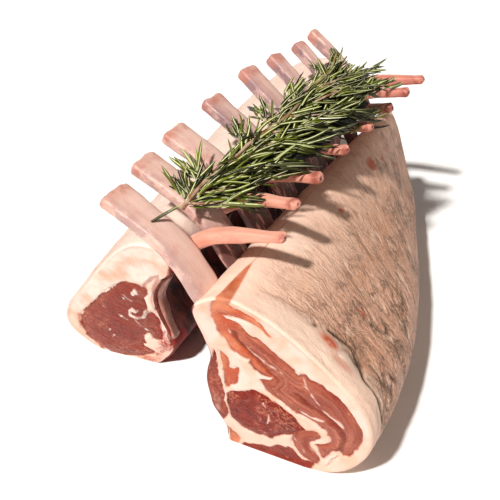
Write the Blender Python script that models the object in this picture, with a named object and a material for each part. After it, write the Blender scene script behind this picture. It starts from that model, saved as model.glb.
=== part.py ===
"""Guard of honour: two frenched racks of lamb that stand leaning together, their rib bones crossed,
with a bundle of rosemary lying in the valley between the bones.

Each rack stands on its flat chine side. Its section is drawn in a plane across the loin: "across" runs
outward from the inner (rib) side of the rack and "up" runs from the chine to the frenched edge. Two such
sections, one at the shoulder end and one at the loin end, are joined by a loft along the loin. The right
rack has its shoulder end in front (low Y), the left rack has its loin end in front, so the two are
the two sides of one animal. Sizes are in millimetres and become metres where a mesh is made.
"""
import bpy
import bmesh
import numpy as np
from mathutils import Matrix

MM = 0.001
GAP = 0.4              # clearance between touching pieces
SPILL = 3.0            # how far a cutter stands out of the open side of what it cuts
WELD = 0.03            # points closer than this are one, where a solid has been cut
INNER = 14.0           # from the middle plane to the inner side of either rack

# ---- the two racks ---------------------------------------------------------------------------------
# side +1 is the right rack and -1 the left one. Lengths run from the shoulder end to the loin end.
RIGHT = dict(
    name="right", side=1, shoulder_y=7.0, loin_y=194.0,
    shoulder_slant=0.07, loin_slant=-0.10, shoulder_tilt=0.0, loin_tilt=0.08,
    shoulder_width=1.0, loin_width=0.48, loin_height=0.88, belly=9.0, ease=1.5,
    chine_sweep=-1.0, swing=1.0,
    rib_y=(16.5, 40.5, 64.0, 88.5, 112.5, 136.5, 160.0, 184.0),
    rib_width=(15.6, 14.4, 14.0, 12.4, 11.2, 8.6, 7.4, 5.6),
    tips=((35, 22, 102.5), (35, 43, 106.5), (35, 67, 108.5), (34, 98, 109.5), (32, 129, 111.5),
          (30, 154, 108.5), (29, 180, 105), (28, 195, 106)),
)
LEFT = dict(
    name="left", side=-1, shoulder_y=222.0, loin_y=34.5,
    shoulder_slant=0.05, loin_slant=-0.17, shoulder_tilt=-0.05, loin_tilt=-0.12,
    shoulder_width=0.9, loin_width=1.0, loin_height=1.0, belly=4.0, ease=1.0,
    chine_sweep=8.0, swing=1.5,
    rib_y=(30.5, 56.5, 80.0, 106.0, 131.5, 152.0, 176.5, 198.0),
    rib_width=(7.4, 7.4, 7.2, 7.2, 7.0, 7.0, 7.6, 7.4),
    tips=((39, 31, 101), (37, 45, 107), (36, 69, 105), (36, 97, 103.5), (36, 125.5, 100.5),
          (36, 153.5, 97), (36, 176.5, 95), (36, 200, 91.5)),
)
RIB_THICKNESS = 6.4
NECK_UP = 72.0         # height of the frenched edge, where the ribs leave the meat

STATION = 0.25         # all layers of a rack have their rings at these steps of its length

# ---- sections, as (across, up) --------------------------------------------------------------------
WALL = 7               # how many of the first points of a body section lie on its inner wall
BODY_SHOULDER = ((-4, 71), (0.5, 58), (3.6, 49), (2, 40), (1.5, 33), (3, 24), (4.5, 18), (10, 9), (13, 0),
                 (30, 0), (47, 0), (62, 4), (71.5, 16), (74.5, 29), (70, 44), (58, 57), (43, 69), (28, 78),
                 (13, 82), (3, 79))
BODY_LOIN = ((-2, 66), (5, 56), (8.5, 46), (7, 35), (4, 25), (2.5, 16), (6, 8), (12, 1.5), (16, 0),
             (25, 0), (40, 0), (50, 3.5), (57, 11), (58.5, 19), (54, 31), (45, 43), (35, 57), (25, 70),
             (14, 79), (3, 78))
EYE_SHOULDER = ((11.5, 26), (12.5, 30), (15.5, 32.5), (24, 36.5), (34, 32.5), (42, 28.5), (46, 22.8),
                (40, 17), (31, 11.8), (20, 11.4), (15, 14.5), (12.5, 19))
EYE_LOIN = ((10, 28.5), (15, 38), (18, 45), (25, 47.5), (33, 44), (46, 29.5), (51.5, 18.5),
            (46, 6), (31, 2), (18, 3), (18.5, 13), (13, 19))
CAP_SHOULDER = ((4.3, 75), (10, 73.3), (18, 69.3), (27, 64.7), (36, 60), (47.5, 53.5), (58, 48.3),
                (66, 41.5), (70.3, 33), (69, 23.5), (64, 15), (58, 7), (56.5, 12.5), (52.5, 15.5),
                (56, 22), (53.5, 27), (45, 30.8), (37, 35.8), (28, 44), (22, 49.5), (15, 53.5),
                (9.5, 61.5), (5.5, 68))
CAP_LOIN = (30, 60)
BRANCH_SHOULDER = ((4.2, 77), (6, 81), (12, 83.5), (15, 80.7), (21, 77), (26, 74), (30.5, 69),
                   (24, 71), (17, 72.8), (10, 74.8))
BRANCH_LOIN = (16, 71)
SMALL_SHOULDER = ((8, 52.5), (11.5, 49.6), (12, 45.5), (16.3, 46), (15.6, 38.5), (12, 35.2), (10.2, 40))
SMALL_LOIN = (14, 44)
MARBLED_SHOULDER = ((41.7, 14.6), (45.6, 19.8), (50.5, 23.2), (51.5, 20.5), (49.4, 16), (51, 10),
                    (50.5, 5.5), (46.6, 8.6), (43, 11))
MARBLED_LOIN = (48, 8)
CHINE_SHOULDER = ((14, 6.8), (20, 4.4), (30, 6.2), (40, 8), (47.5, 4.5), (43, 0), (28, 0), (15, 0))
CHINE_LOIN = (30, 2)
TAIL = 0.15            # what is left of a muscle where it dwindles out
STRIP_SHOULDER = ((0.5, 58), (3.6, 49), (2, 40), (1.5, 33), (3, 24), (4.5, 18), (10, 11.5), (12, 15),
                  (11, 23), (9.8, 31), (8, 38), (6.8, 46), (4, 55))
STRIP_LOIN = ((5, 56), (8.5, 46), (7, 35), (4, 25), (2.5, 16), (6, 8), (12, 3.5), (13, 9), (8, 17),
              (8.2, 25), (11, 34), (12.5, 42), (9, 53))

# ---- ribs ------------------------------------------------------------------------------------------
RIB_HEIGHTS = (21.0, 34.0, 47.0, 59.0)     # where a rib is tied to the inner wall
RIB_SINK = 1.2                             # how far its middle lies inside that wall
RIB_BEND = ((-1.0, 72.0, 0.3), (-20.0, 92.5, 0.7))   # neck and bend, and how much they follow the tip
TIP_UP = 105.0                             # tip height of a middling rib
RIB_STATIONS = 6
RIB_SIDES = 8

# ---- rosemary --------------------------------------------------------------------------------------
ROSEMARY_Y = (32.0, 174.0)
ROSEMARY_HALF_WIDTH = 18.0
ROSEMARY_BOTTOM = 96.0
ROSEMARY_TOP = 118.0

FAT = ("Lamb fat", (0.90, 0.72, 0.58), 0.45)
MEAT = ("Lamb meat", (0.42, 0.09, 0.06), 0.40)
DARK_MEAT = ("Dark lamb meat", (0.22, 0.03, 0.03), 0.40)
BONE = ("Rib bone", (0.80, 0.52, 0.44), 0.50)
HERB = ("Rosemary", (0.10, 0.16, 0.05), 0.60)


# ---- mesh helpers -----------------------------------------------------------------------------------

def material(finish):
    """One Principled material for each finish."""
    name, colour, roughness = finish
    if name in bpy.data.materials:
        return bpy.data.materials[name]
    made = bpy.data.materials.new(name)
    made.use_nodes = True
    shader = made.node_tree.nodes["Principled BSDF"]
    shader.inputs["Base Color"].default_value = (*colour, 1.0)
    shader.inputs["Roughness"].default_value = roughness
    shader.inputs["Metallic"].default_value = 0.0
    return made


def mesh_object(name, points, faces, finish=None):
    """An object from points in millimetres, its faces turned outward. Without a finish it is a cutter."""
    mesh = bpy.data.meshes.new(name)
    mesh.from_pydata([tuple(p) for p in np.asarray(points) * MM], [], faces)
    shape = bmesh.new()
    shape.from_mesh(mesh)
    bmesh.ops.recalc_face_normals(shape, faces=shape.faces)
    bmesh.ops.triangulate(shape, faces=[f for f in shape.faces if len(f.verts) > 4])
    shape.to_mesh(mesh)
    shape.free()
    made = bpy.data.objects.new(name, mesh)
    bpy.context.collection.objects.link(made)
    if finish:
        mesh.materials.append(material(finish))
    else:
        made.hide_render = True
        made.display_type = "WIRE"
    return made


def tube(name, rings, finish=None):
    """A closed solid through rings of equal size, with a flat face at either end. Its sides are cut
    into triangles here, all the same way, so that a layer and its cutter have matching facets."""
    rings = np.asarray(rings)
    count, size = rings.shape[:2]
    faces = [tuple(range(size))[::-1], tuple(range((count - 1) * size, count * size))]
    for ring in range(count - 1):
        for k in range(size):
            a, b = ring * size + k, ring * size + (k + 1) % size
            faces += [(a, b, b + size), (a, b + size, a + size)]
    return mesh_object(name, rings.reshape(-1, 3), faces, finish)


def carve(solid, cutters, operation="DIFFERENCE"):
    """Cut the cutters out of a solid, or keep what lies inside them, and keep its one main body. The
    exact solver loses a body with this many tunnels, so this uses the one for closed meshes. Points
    closer than the weld are joined; faces that then lie back to back or stand out alone are removed."""
    for cutter in cutters:
        step = solid.modifiers.new(cutter.name, "BOOLEAN")
        step.operation = operation
        step.solver = "MANIFOLD"
        step.object = cutter
    cut = bpy.data.meshes.new_from_object(solid.evaluated_get(bpy.context.evaluated_depsgraph_get()))
    solid.modifiers.clear()
    solid.data = cut
    shape = bmesh.new()
    shape.from_mesh(cut)
    bmesh.ops.triangulate(shape, faces=shape.faces)
    bmesh.ops.remove_doubles(shape, verts=shape.verts, dist=WELD * MM)
    flaps = {}
    for face in shape.faces:
        flaps.setdefault(frozenset(face.verts), []).append(face)
    doubled = [face for same in flaps.values() for face in same[:len(same) // 2 * 2]]
    bmesh.ops.delete(shape, geom=doubled, context="FACES")
    fins = [face for face in shape.faces if sum(edge.is_boundary for edge in face.edges) > 1]
    bmesh.ops.delete(shape, geom=fins, context="FACES")
    left = set(shape.faces)
    islands = []
    while left:
        island, front = set(), [left.pop()]
        while front:
            face = front.pop()
            island.add(face)
            near = {other for edge in face.edges for other in edge.link_faces} & left
            left -= near
            front.extend(near)
        islands.append(island)
    main = max(islands, key=len)
    bmesh.ops.delete(shape, geom=[f for f in shape.faces if f not in main], context="FACES")
    shape.to_mesh(cut)
    shape.free()


def smooth(made, angle=40.0):
    """Shade the round stretches of a piece smooth and keep its edges."""
    made.data.shade_smooth()
    made.data.set_sharp_from_angle(angle=np.radians(angle))


# ---- curves -----------------------------------------------------------------------------------------

def spline(points, closed, fine=12):
    """A Catmull-Rom curve through the points: each span is the cubic whose slopes are half the step
    between its neighbours."""
    p = np.asarray(points, float)
    if closed:
        p = np.vstack([p[-1:], p, p[:2]])
    else:
        p = np.vstack([2 * p[0] - p[1], p, 2 * p[-1] - p[-2]])
    t = (np.arange(fine) / fine)[:, None]
    spans = []
    for a, b, c, d in zip(p[:-3], p[1:-2], p[2:-1], p[3:]):
        spans.append(0.5 * (2 * b + (c - a) * t + (2 * a - 5 * b + 4 * c - d) * t ** 2
                            + (3 * b - a - 3 * c + d) * t ** 3))
    curve = np.vstack(spans)
    return curve if closed else np.vstack([curve, p[-2:-1]])


def even(path, count):
    """An open curve's points again, at even steps along its length."""
    run = np.concatenate([[0.0], np.cumsum(np.linalg.norm(np.diff(path, axis=0), axis=1))])
    at = np.linspace(0.0, run[-1], count)
    return np.stack([np.interp(at, run, path[:, k]) for k in range(path.shape[1])], axis=1)


def outline(points, fine):
    """A closed section through a few points, never below the surface it stands on."""
    ring = spline(points, True, fine)
    ring[:, 1] = np.maximum(ring[:, 1], 0.0)
    return ring


def grown(ring, by):
    """The closed ring with every side moved outward by a distance, and its corners mitred."""
    x, z = ring.T
    side = np.roll(ring, -1, axis=0) - ring
    side /= np.linalg.norm(side, axis=1, keepdims=True) + 1e-9
    turn = np.sign(np.sum(x * np.roll(z, -1) - np.roll(x, -1) * z))
    after = np.stack([side[:, 1], -side[:, 0]], axis=1) * turn
    before = np.roll(after, 1, axis=0)
    open_angle = 1.0 + np.sum(after * before, axis=1, keepdims=True)
    return ring + by * (after + before) / np.maximum(open_angle, 0.15)


# ---- racks ------------------------------------------------------------------------------------------

def spilt(section, body):
    """The section with the points that it shares with the body's inner wall moved well outside it,
    the top one upward as well, so that the edge from it still clears the corner that it leaves."""
    rise = [SPILL * (point == section[0]) for point in section]
    return tuple((x - SPILL, z + up) if (x, z) in body[:WALL] else (x, z)
                 for (x, z), up in zip(section, rise))


def place(rack, ring, s):
    """Put a section ring into the object: s runs from 0 at the shoulder end to 1 at the loin end. The
    section narrows towards the loin, swells a little half-way, and turns and tilts with the cut at
    either end."""
    taper = s ** rack["ease"]
    width = rack["shoulder_width"] + (rack["loin_width"] - rack["shoulder_width"]) * taper
    height = 1.0 + (rack["loin_height"] - 1.0) * taper
    slant = rack["shoulder_slant"] + (rack["loin_slant"] - rack["shoulder_slant"]) * s
    tilt = rack["shoulder_tilt"] + (rack["loin_tilt"] - rack["shoulder_tilt"]) * s
    across, up = ring[:, 0] * width, ring[:, 1] * height
    across = across + rack["belly"] * np.sin(np.pi * s) * np.clip(ring[:, 0] / 70.0, 0.0, 1.0)
    y = rack["shoulder_y"] + (rack["loin_y"] - rack["shoulder_y"]) * s + slant * across + tilt * up
    return np.stack([rack["side"] * (INNER + across), y, up], axis=1)


def loft(rack, name, shoulder, loin, finish=None, fine=2, reach=1.0, ease=1.0, grow=0.0):
    """A layer of the rack that runs through it, from its shoulder section to its loin section. One
    that dwindles has a single point in place of the second: the middle of a small copy of the first.
    A grown one is a cutter: its section is larger all round, or smaller where the growth is below
    zero, and it runs well past the cut ends, the inner wall and the flat underside of the rack."""
    if grow:
        shoulder = spilt(shoulder, BODY_SHOULDER)
        loin = spilt(loin, BODY_LOIN) if len(loin) > 2 else loin
    first = outline(shoulder, fine)
    last = outline(loin, fine) if len(loin) > 2 else loin + (first - first.mean(axis=0)) * TAIL
    past = 4.0 / abs(rack["loin_y"] - rack["shoulder_y"]) if grow else 0.0
    stations = np.arange(0.0, reach + STATION / 2, STATION)
    rings = []
    for s in stations:
        mix = (s / reach) ** ease
        ring = first + (last - first) * mix
        if grow:
            ring = grown(ring, grow)
            ring[:, 1] -= SPILL * (ring[:, 1] < 0.0)
        rings.append(place(rack, ring, s))
    step = (rings[-1] - rings[-2]) / (stations[-1] - stations[-2])
    if grow:
        away = np.array([0.0, rack["shoulder_y"] - rack["loin_y"], 0.0])
        rings.insert(0, rings[0] + away * past)
        rings.append(rings[-1] - away * (past if reach == 1.0 else GAP / abs(away[1])))
    return tube(name, rings, finish)


def bed(rack, s, up):
    """How far across the middle of a rib lies in the meat at a height: a little behind the inner wall,
    which is a blend of both end sections."""
    ends = [np.array(section[:WALL])[::-1] for section in (BODY_SHOULDER, BODY_LOIN)]
    at = [np.interp(up, end[:, 1], end[:, 0]) for end in ends]
    mix = s ** rack["ease"]
    return (1.0 - mix) * (at[0] + RIB_SINK) + mix * (at[1] + RIB_SINK) * rack["loin_width"]


def rib(rack, index, finish=None, grow=0.0):
    """One rib bone: a flat oval bar from the chine, up the inner wall and out of the meat at the neck,
    then bent over towards the other rack. Its broad side faces out; its tip is a little rounded."""
    neck_y = rack["rib_y"][index]
    s = (neck_y - rack["shoulder_y"]) / (rack["loin_y"] - rack["shoulder_y"])
    line = [(bed(rack, s, up), up) for up in RIB_HEIGHTS]
    reach, tip_y, tip_up = rack["tips"][index]
    line += [(across, up + (tip_up - TIP_UP) * follow) for across, up, follow in RIB_BEND]
    line += [(-INNER - reach, tip_up)]
    path = even(spline(line, False), RIB_STATIONS)
    run = np.linspace(0.0, 1.0, RIB_STATIONS)
    neck = np.interp(NECK_UP, path[:, 1], run)
    past_neck = (run - neck) / (1.0 - neck)
    sweep = (tip_y - neck_y) * np.maximum(past_neck, 0.0) ** rack["swing"]
    sweep -= rack["chine_sweep"] * np.minimum(past_neck, 0.0)
    centre = np.stack([rack["side"] * (INNER + path[:, 0]), neck_y + sweep, path[:, 1]], axis=1)
    along = np.gradient(centre, axis=0)
    along /= np.linalg.norm(along, axis=1, keepdims=True)
    broad = np.array([0.0, 1.0, 0.0]) - along * along[:, 1:2]
    broad /= np.linalg.norm(broad, axis=1, keepdims=True)
    thin = np.cross(along, broad)
    free = np.clip((run - neck) / 0.1 + 0.5, 0.0, 1.0)
    half_width = rack["rib_width"][index] / 2 * (0.8 + 0.2 * free)
    half_thick = RIB_THICKNESS / 2 * (0.75 + 0.25 * free)
    half_width[-1] *= 0.9
    half_thick[-1] *= 0.8
    turn = np.arange(RIB_SIDES) * 2 * np.pi / RIB_SIDES + np.pi / RIB_SIDES
    round_x = np.sign(np.cos(turn)) * np.abs(np.cos(turn)) ** 0.75
    round_y = np.sign(np.sin(turn)) * np.abs(np.sin(turn)) ** 0.75
    rings = (centre[:, None] + broad[:, None] * ((half_width + grow)[:, None] * round_x)[..., None]
             + thin[:, None] * ((half_thick + grow)[:, None] * round_y)[..., None])
    if grow:
        rings[0] -= along[0] * grow
    return tube("%s_rib_%d" % (rack["name"], index + 1), rings, finish)


def build_rack(rack):
    """The pieces of one rack: the muscles, the meat between the ribs, the ribs, and the fat round all."""
    name = rack["name"]
    layers = [("eye", EYE_SHOULDER, EYE_LOIN, MEAT, dict(ease=2.4)),
              ("cap", CAP_SHOULDER, CAP_LOIN, MEAT, dict(fine=1, reach=0.75, ease=1.2)),
              ("cap_branch", BRANCH_SHOULDER, BRANCH_LOIN, MEAT, dict(fine=1, reach=0.5)),
              ("small_muscle", SMALL_SHOULDER, SMALL_LOIN, MEAT, dict(fine=1, reach=0.5)),
              ("marbled_muscle", MARBLED_SHOULDER, MARBLED_LOIN, MEAT, dict(fine=1, reach=0.25)),
              ("chine_meat", CHINE_SHOULDER, CHINE_LOIN, DARK_MEAT, dict(fine=1, reach=0.75))]
    fat = loft(rack, name + "_fat", BODY_SHOULDER, BODY_LOIN, FAT)
    cutters = []
    for layer, shoulder, loin, finish, shape in layers:
        muscle = loft(rack, "%s_%s" % (name, layer), shoulder, loin, finish, **shape)
        if layer == "cap_branch":
            skin = loft(rack, "skin", BODY_SHOULDER, BODY_LOIN, grow=-GAP / 2)
            carve(muscle, [skin], "INTERSECT")
            bpy.data.objects.remove(skin)
        smooth(muscle)
        cutters.append(loft(rack, "cut_" + layer, shoulder, loin, grow=GAP, **shape))
    rib_cutters = []
    for index in range(len(rack["rib_y"])):
        smooth(rib(rack, index, BONE), 50.0)
        rib_cutters.append(rib(rack, index, grow=GAP))
    rib_meat = loft(rack, name + "_rib_meat", STRIP_SHOULDER, STRIP_LOIN, DARK_MEAT, fine=1)
    carve(rib_meat, rib_cutters)
    smooth(rib_meat)
    cutters.append(loft(rack, "cut_rib_meat", STRIP_SHOULDER, STRIP_LOIN, fine=1, grow=GAP))
    carve(fat, cutters + rib_cutters)
    smooth(fat)
    for cutter in cutters + rib_cutters:
        bpy.data.objects.remove(cutter)


def build_rosemary():
    """The bundle of rosemary: one lumpy body that lies along the valley above the crossed bones."""
    y = np.linspace(*ROSEMARY_Y, 15)
    run = np.linspace(0.0, 1.0, len(y))
    half = ROSEMARY_HALF_WIDTH * (np.sin(np.pi * (0.12 + 0.8 * run)) ** 0.6) * (1 + 0.12 * np.sin(11 * run + 1))
    top = ROSEMARY_TOP + 2.0 * np.sin(9 * run)
    middle = -1.0 + 17.0 * run
    shape = np.array([(-1, 0.62), (-0.55, 0.28), (0, 0.0), (0.55, 0.28), (1, 0.62), (0.7, 0.92), (0, 1.0),
                      (-0.7, 0.92)])
    rings = np.stack([middle[:, None] + half[:, None] * shape[:, 0],
                      np.repeat(y[:, None], len(shape), 1),
                      ROSEMARY_BOTTOM + (top - ROSEMARY_BOTTOM)[:, None] * shape[:, 1]], axis=2)
    smooth(tube("rosemary", rings, HERB), 60.0)


def centre_on_origin():
    """Move the whole so that its origin is the middle of its footprint, on the surface it stands on."""
    parts = [o for o in bpy.data.objects if not o.hide_render]
    low = np.min([np.min([v.co for v in o.data.vertices], axis=0) for o in parts], axis=0)
    high = np.max([np.max([v.co for v in o.data.vertices], axis=0) for o in parts], axis=0)
    shift = np.array([-(low[0] + high[0]) / 2, -(low[1] + high[1]) / 2, -low[2]])
    for o in parts:
        o.data.transform(Matrix.Translation(shift))


for old in list(bpy.data.objects):
    bpy.data.objects.remove(old)
build_rack(RIGHT)
build_rack(LEFT)
build_rosemary()
centre_on_origin()
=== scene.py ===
"""Looks of a raw guard of honour: two frenched racks of lamb that stand leaning together with a bundle
of rosemary on their crossed rib bones.

Every surface is worked out in millimetres in the makers' frame of the solids (the shoulder end of the
right rack near y = 0, the valley's middle plane at x = 0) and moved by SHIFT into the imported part's frame.
A place on a rack is given by three numbers: how far along the loin (0 at the shoulder end, 1 at the loin
end), how far round the section (0 to 20, one for each named point of the section), and how far out.
"""

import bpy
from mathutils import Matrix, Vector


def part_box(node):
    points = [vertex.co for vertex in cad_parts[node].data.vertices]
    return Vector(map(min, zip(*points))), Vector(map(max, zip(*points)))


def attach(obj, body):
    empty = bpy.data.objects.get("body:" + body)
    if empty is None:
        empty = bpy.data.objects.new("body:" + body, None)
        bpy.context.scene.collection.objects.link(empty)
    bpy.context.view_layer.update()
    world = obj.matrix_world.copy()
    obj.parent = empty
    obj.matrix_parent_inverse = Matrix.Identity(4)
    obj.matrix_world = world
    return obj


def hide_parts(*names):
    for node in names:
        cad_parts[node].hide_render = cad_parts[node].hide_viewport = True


bl_info = {
    "name": "Guard of honour of lamb",
    "version": (1, 0, 0),
    "blender": (4, 5, 0),
    "location": "3D View > Sidebar > Lamb",
    "description": "Builds two frenched racks of raw lamb with rosemary round their packed solids",
    "category": "Add Mesh",
}

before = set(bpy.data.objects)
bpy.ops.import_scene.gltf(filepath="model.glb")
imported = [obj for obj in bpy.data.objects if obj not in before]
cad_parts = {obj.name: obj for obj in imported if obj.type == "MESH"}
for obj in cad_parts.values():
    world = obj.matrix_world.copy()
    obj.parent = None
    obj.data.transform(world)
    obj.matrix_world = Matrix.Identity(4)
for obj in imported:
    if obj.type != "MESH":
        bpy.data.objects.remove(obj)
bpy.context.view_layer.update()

import bpy
import numpy as np
from bpy.props import FloatProperty, FloatVectorProperty, IntProperty, PointerProperty
from mathutils import Vector

MM = 0.001

# ---- the sections and racks, as the solids have them ----
INNER = 14.0           # half the width of the valley's floor
ROSEMARY_START = 32.0  # where the rosemary starts along the valley
CHINE_START = 14.0     # where the chine meat starts across a rack
SHIFT = np.array([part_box("right_chine_meat")[0][0] / MM - INNER - CHINE_START,
                  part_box("rosemary")[0][1] / MM - ROSEMARY_START, 0.0])
POINTS = 20            # named points round a section, the first 7 of them up the inner wall
WALL = 7
BODY_SHOULDER = ((-4, 71), (0.5, 58), (3.6, 49), (2, 40), (1.5, 33), (3, 24), (4.5, 18), (10, 9), (13, 0),
                 (30, 0), (47, 0), (62, 4), (71.5, 16), (74.5, 29), (70, 44), (58, 57), (43, 69), (28, 78),
                 (13, 82), (3, 79))
BODY_LOIN = ((-2, 66), (5, 56), (8.5, 46), (7, 35), (4, 25), (2.5, 16), (6, 8), (12, 1.5), (16, 0),
             (25, 0), (40, 0), (50, 3.5), (57, 11), (58.5, 19), (54, 31), (45, 43), (35, 57), (25, 70),
             (14, 79), (3, 78))
# A pair holds the shoulder end's value and the loin end's.
RIGHT = dict(
    name="right", side=1, rows=230, ends_y=(7.0, 194.0), slant=(0.07, -0.10), tilt=(0.0, 0.08),
    width=(1.0, 0.48), height=(1.0, 0.88), belly=9.0, ease=1.5,
    chine_sweep=-1.0, swing=1.0, squareness=0.52,
    rib_y=(16.5, 40.5, 64.0, 88.5, 112.5, 136.5, 160.0, 184.0),
    rib_width=(15.6, 14.4, 14.0, 12.4, 11.2, 8.6, 7.4, 5.6),
    tips=((35, 22, 102.5), (35, 43, 106.5), (35, 67, 108.5), (34, 98, 109.5), (32, 129, 111.5),
          (30, 154, 108.5), (29, 180, 105), (28, 195, 106)),
)
LEFT = dict(
    name="left", side=-1, rows=170, ends_y=(222.0, 34.5), slant=(0.05, -0.17), tilt=(-0.05, -0.12),
    width=(0.9, 1.0), height=(1.0, 1.0), belly=4.0, ease=1.0,
    chine_sweep=8.0, swing=1.5, squareness=0.60,
    rib_y=(30.5, 56.5, 80.0, 106.0, 131.5, 152.0, 176.5, 198.0),
    rib_width=(7.4, 7.4, 7.2, 7.2, 7.0, 7.0, 7.6, 7.4),
    tips=((39, 31, 101), (37, 45, 107), (36, 69, 105), (36, 97, 103.5), (36, 125.5, 100.5),
          (36, 153.5, 97), (36, 176.5, 95), (36, 200, 91.5)),
)
RIB_HEIGHTS = (21.0, 34.0, 47.0, 59.0)     # heights at which a rib follows the inner wall
RIB_SINK = 1.2                             # how deep the middle of a rib lies behind the wall
RIB_BEND = ((-1.0, 72.0, 0.3), (-20.0, 92.5, 0.7))     # across, up, and how far the tip's height moves it
RIB_THICKNESS = 6.4
NECK_UP = 72.0                             # where a rib leaves the meat
TIP_UP = 105.0                             # the height of a tip that moves nothing
RIB_GREY = (0.15, 0.20, 0.15, 0.85, 0.65, 0.80, 0.90, 0.5)     # how purple each rib of the right rack is
COLUMNS = 400                              # points round a fat cap
FRONT_ROWS, BACK_ROWS = 120, 70            # rings of a cut face in front and behind


# ---- numbers ----

def ramp(low, high, x):
    """0 below low, 1 above high, and a smooth S between: t * t * (3 - 2 t)."""
    t = np.clip((x - low) / (high - low), 0.0, 1.0)
    return t * t * (3.0 - 2.0 * t)


def noise(points, size, seed=0):
    """Smooth noise from -1 to 1: a random value at each corner of a lattice of cubes of the given size,
    which may differ along the axes, and an S-shaped blend between the eight corners round a point. A
    point of a plane lies at height 0."""
    p = np.asarray(points, float)
    if p.shape[-1] == 2:
        p = np.concatenate([p, np.zeros(p.shape[:-1] + (1,))], axis=-1)
    p = p / size + 37.0 * seed
    cell = np.floor(p).astype(np.int64)
    t = p - cell
    t = t * t * (3.0 - 2.0 * t)
    total = 0.0
    for corner in np.ndindex(2, 2, 2):
        x, y, z = np.moveaxis(cell + corner, -1, 0)
        mixed = (x * 374761393 + y * 668265263 + z * 2147483647 + seed * 974634777) & 0xFFFFFFFF
        mixed = ((mixed ^ (mixed >> 13)) * 1274126177) & 0xFFFFFFFF
        value = ((mixed ^ (mixed >> 16)) & 0xFFFF) / 32767.5 - 1.0
        total = total + np.prod(np.where(corner, t, 1.0 - t), axis=-1) * value
    return total


def rough(points, size, seed=0, octaves=3):
    """Noise of several sizes: each octave is half the size and half the strength of the one before."""
    return sum(noise(points, np.asarray(size) / 2 ** k, seed + k) / 2 ** k for k in range(octaves))


def most(parts):
    """The largest of several values at each point."""
    return np.maximum.reduce(list(parts))


def run_of(points):
    """How far along a line of points each one lies: the sum of the steps before it."""
    return np.concatenate([[0.0], np.cumsum(np.linalg.norm(np.diff(points, axis=0), axis=1))])


def unit(vectors):
    """Vectors divided by their length."""
    return vectors / (np.linalg.norm(vectors, axis=-1, keepdims=True) + 1e-12)


def across_of(ahead):
    """A level and a rising unit vector across each direction."""
    side = unit(np.cross(ahead, (0.0, 0.0, 1.0)))
    return side, np.cross(side, ahead)


def curve(points, at, closed=False):
    """A Catmull-Rom curve through the points, read at numbers that count the points from 0: each span
    is the cubic whose slopes are half the step between its neighbours."""
    p = np.asarray(points, float)
    at = np.asarray(at, float)
    if not closed:
        at = np.clip(at, 0.0, len(p) - 1.0 - 1e-6)
        p = np.vstack([p, 2 * p[-1] - p[-2], 2 * p[0] - p[1]])
    i = np.floor(at).astype(int)
    t = (at - i)[..., None]
    a, b, c, d = (p[(i + k) % len(p)] for k in (-1, 0, 1, 2))
    return 0.5 * (2 * b + (c - a) * t + (2 * a - 5 * b + 4 * c - d) * t ** 2
                  + (3 * b - a - 3 * c + d) * t ** 3)


def trace(points, closed=False, fine=4):
    """The points of a Catmull-Rom curve, a few for each span."""
    spans = len(points) if closed else len(points) - 1
    return curve(points, np.arange(spans * fine + (not closed)) / fine, closed)


def gap_to(points, path, closed=False, reach=3.0):
    """How far each point of a plane is from a path: the least distance to its straight pieces. Points
    further than the reach outside the path's box are given that reach."""
    p = points.reshape(-1, 2)
    gap = np.full(len(p), reach)
    near = np.all((p > path.min(axis=0) - reach) & (p < path.max(axis=0) + reach), axis=1)
    p = p[near]
    nearest = np.full(len(p), 1e9)
    for a, b in zip(*((path, np.roll(path, -1, axis=0)) if closed else (path[:-1], path[1:]))):
        away, step = p - a, b - a
        t = np.clip(away @ step / (step @ step + 1e-12), 0.0, 1.0)
        np.minimum(nearest, (away[:, 0] - t * step[0]) ** 2 + (away[:, 1] - t * step[1]) ** 2, out=nearest)
    gap[near] = np.sqrt(nearest)
    return gap.reshape(points.shape[:-1])


def depth_in(points, outline):
    """How deep each point of a plane lies inside a closed outline, below zero outside it. A point is
    inside where a ray from it crosses the outline an odd number of times."""
    path = trace(outline, True)
    x, y = points[..., 0].ravel(), points[..., 1].ravel()
    near = np.flatnonzero((y > path[:, 1].min()) & (y < path[:, 1].max()) & (x < path[:, 0].max()))
    odd, x, y = np.zeros(len(x), bool), x[near], y[near]
    inside = np.zeros(len(near), bool)
    for (ax, ay), (bx, by) in zip(path, np.roll(path, -1, axis=0)):
        if ay != by:
            inside ^= ((ay > y) != (by > y)) & (x < (bx - ax) * (y - ay) / (by - ay) + ax)
    odd[near] = inside
    return np.where(odd.reshape(points.shape[:-1]), 1.0, -1.0) * gap_to(points, path, True)


def area_of(points, outline, soft=0.35):
    """1 inside an outline and 0 outside it, with a soft edge."""
    return ramp(-soft, soft, depth_in(points, outline))


def line_of(points, path, width, soft=0.3):
    """1 along a path of the given width and 0 away from it, thinning to nothing at both ends."""
    return 1.0 - ramp(width / 2, width / 2 + soft, gap_to(points, trace(path)))


# ---- meshes ----

def outward(grid, flip):
    """Unit normals of a grid whose columns close on themselves: across the steps along its rows and its
    columns."""
    over = np.roll(grid, -1, axis=1) - np.roll(grid, 1, axis=1)
    return flip * unit(np.cross(np.gradient(grid, axis=0), over))


def grid_faces(rows, columns, flip):
    """The quads of a grid whose columns close on themselves."""
    r, c = np.meshgrid(np.arange(rows - 1) * columns, np.arange(columns), indexing="ij")
    a, b = r + c, r + (c + 1) % columns
    quads = np.stack([a, b, b + columns, a + columns], axis=-1).reshape(-1, 4)
    return quads[:, ::-1] if flip else quads


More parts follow.
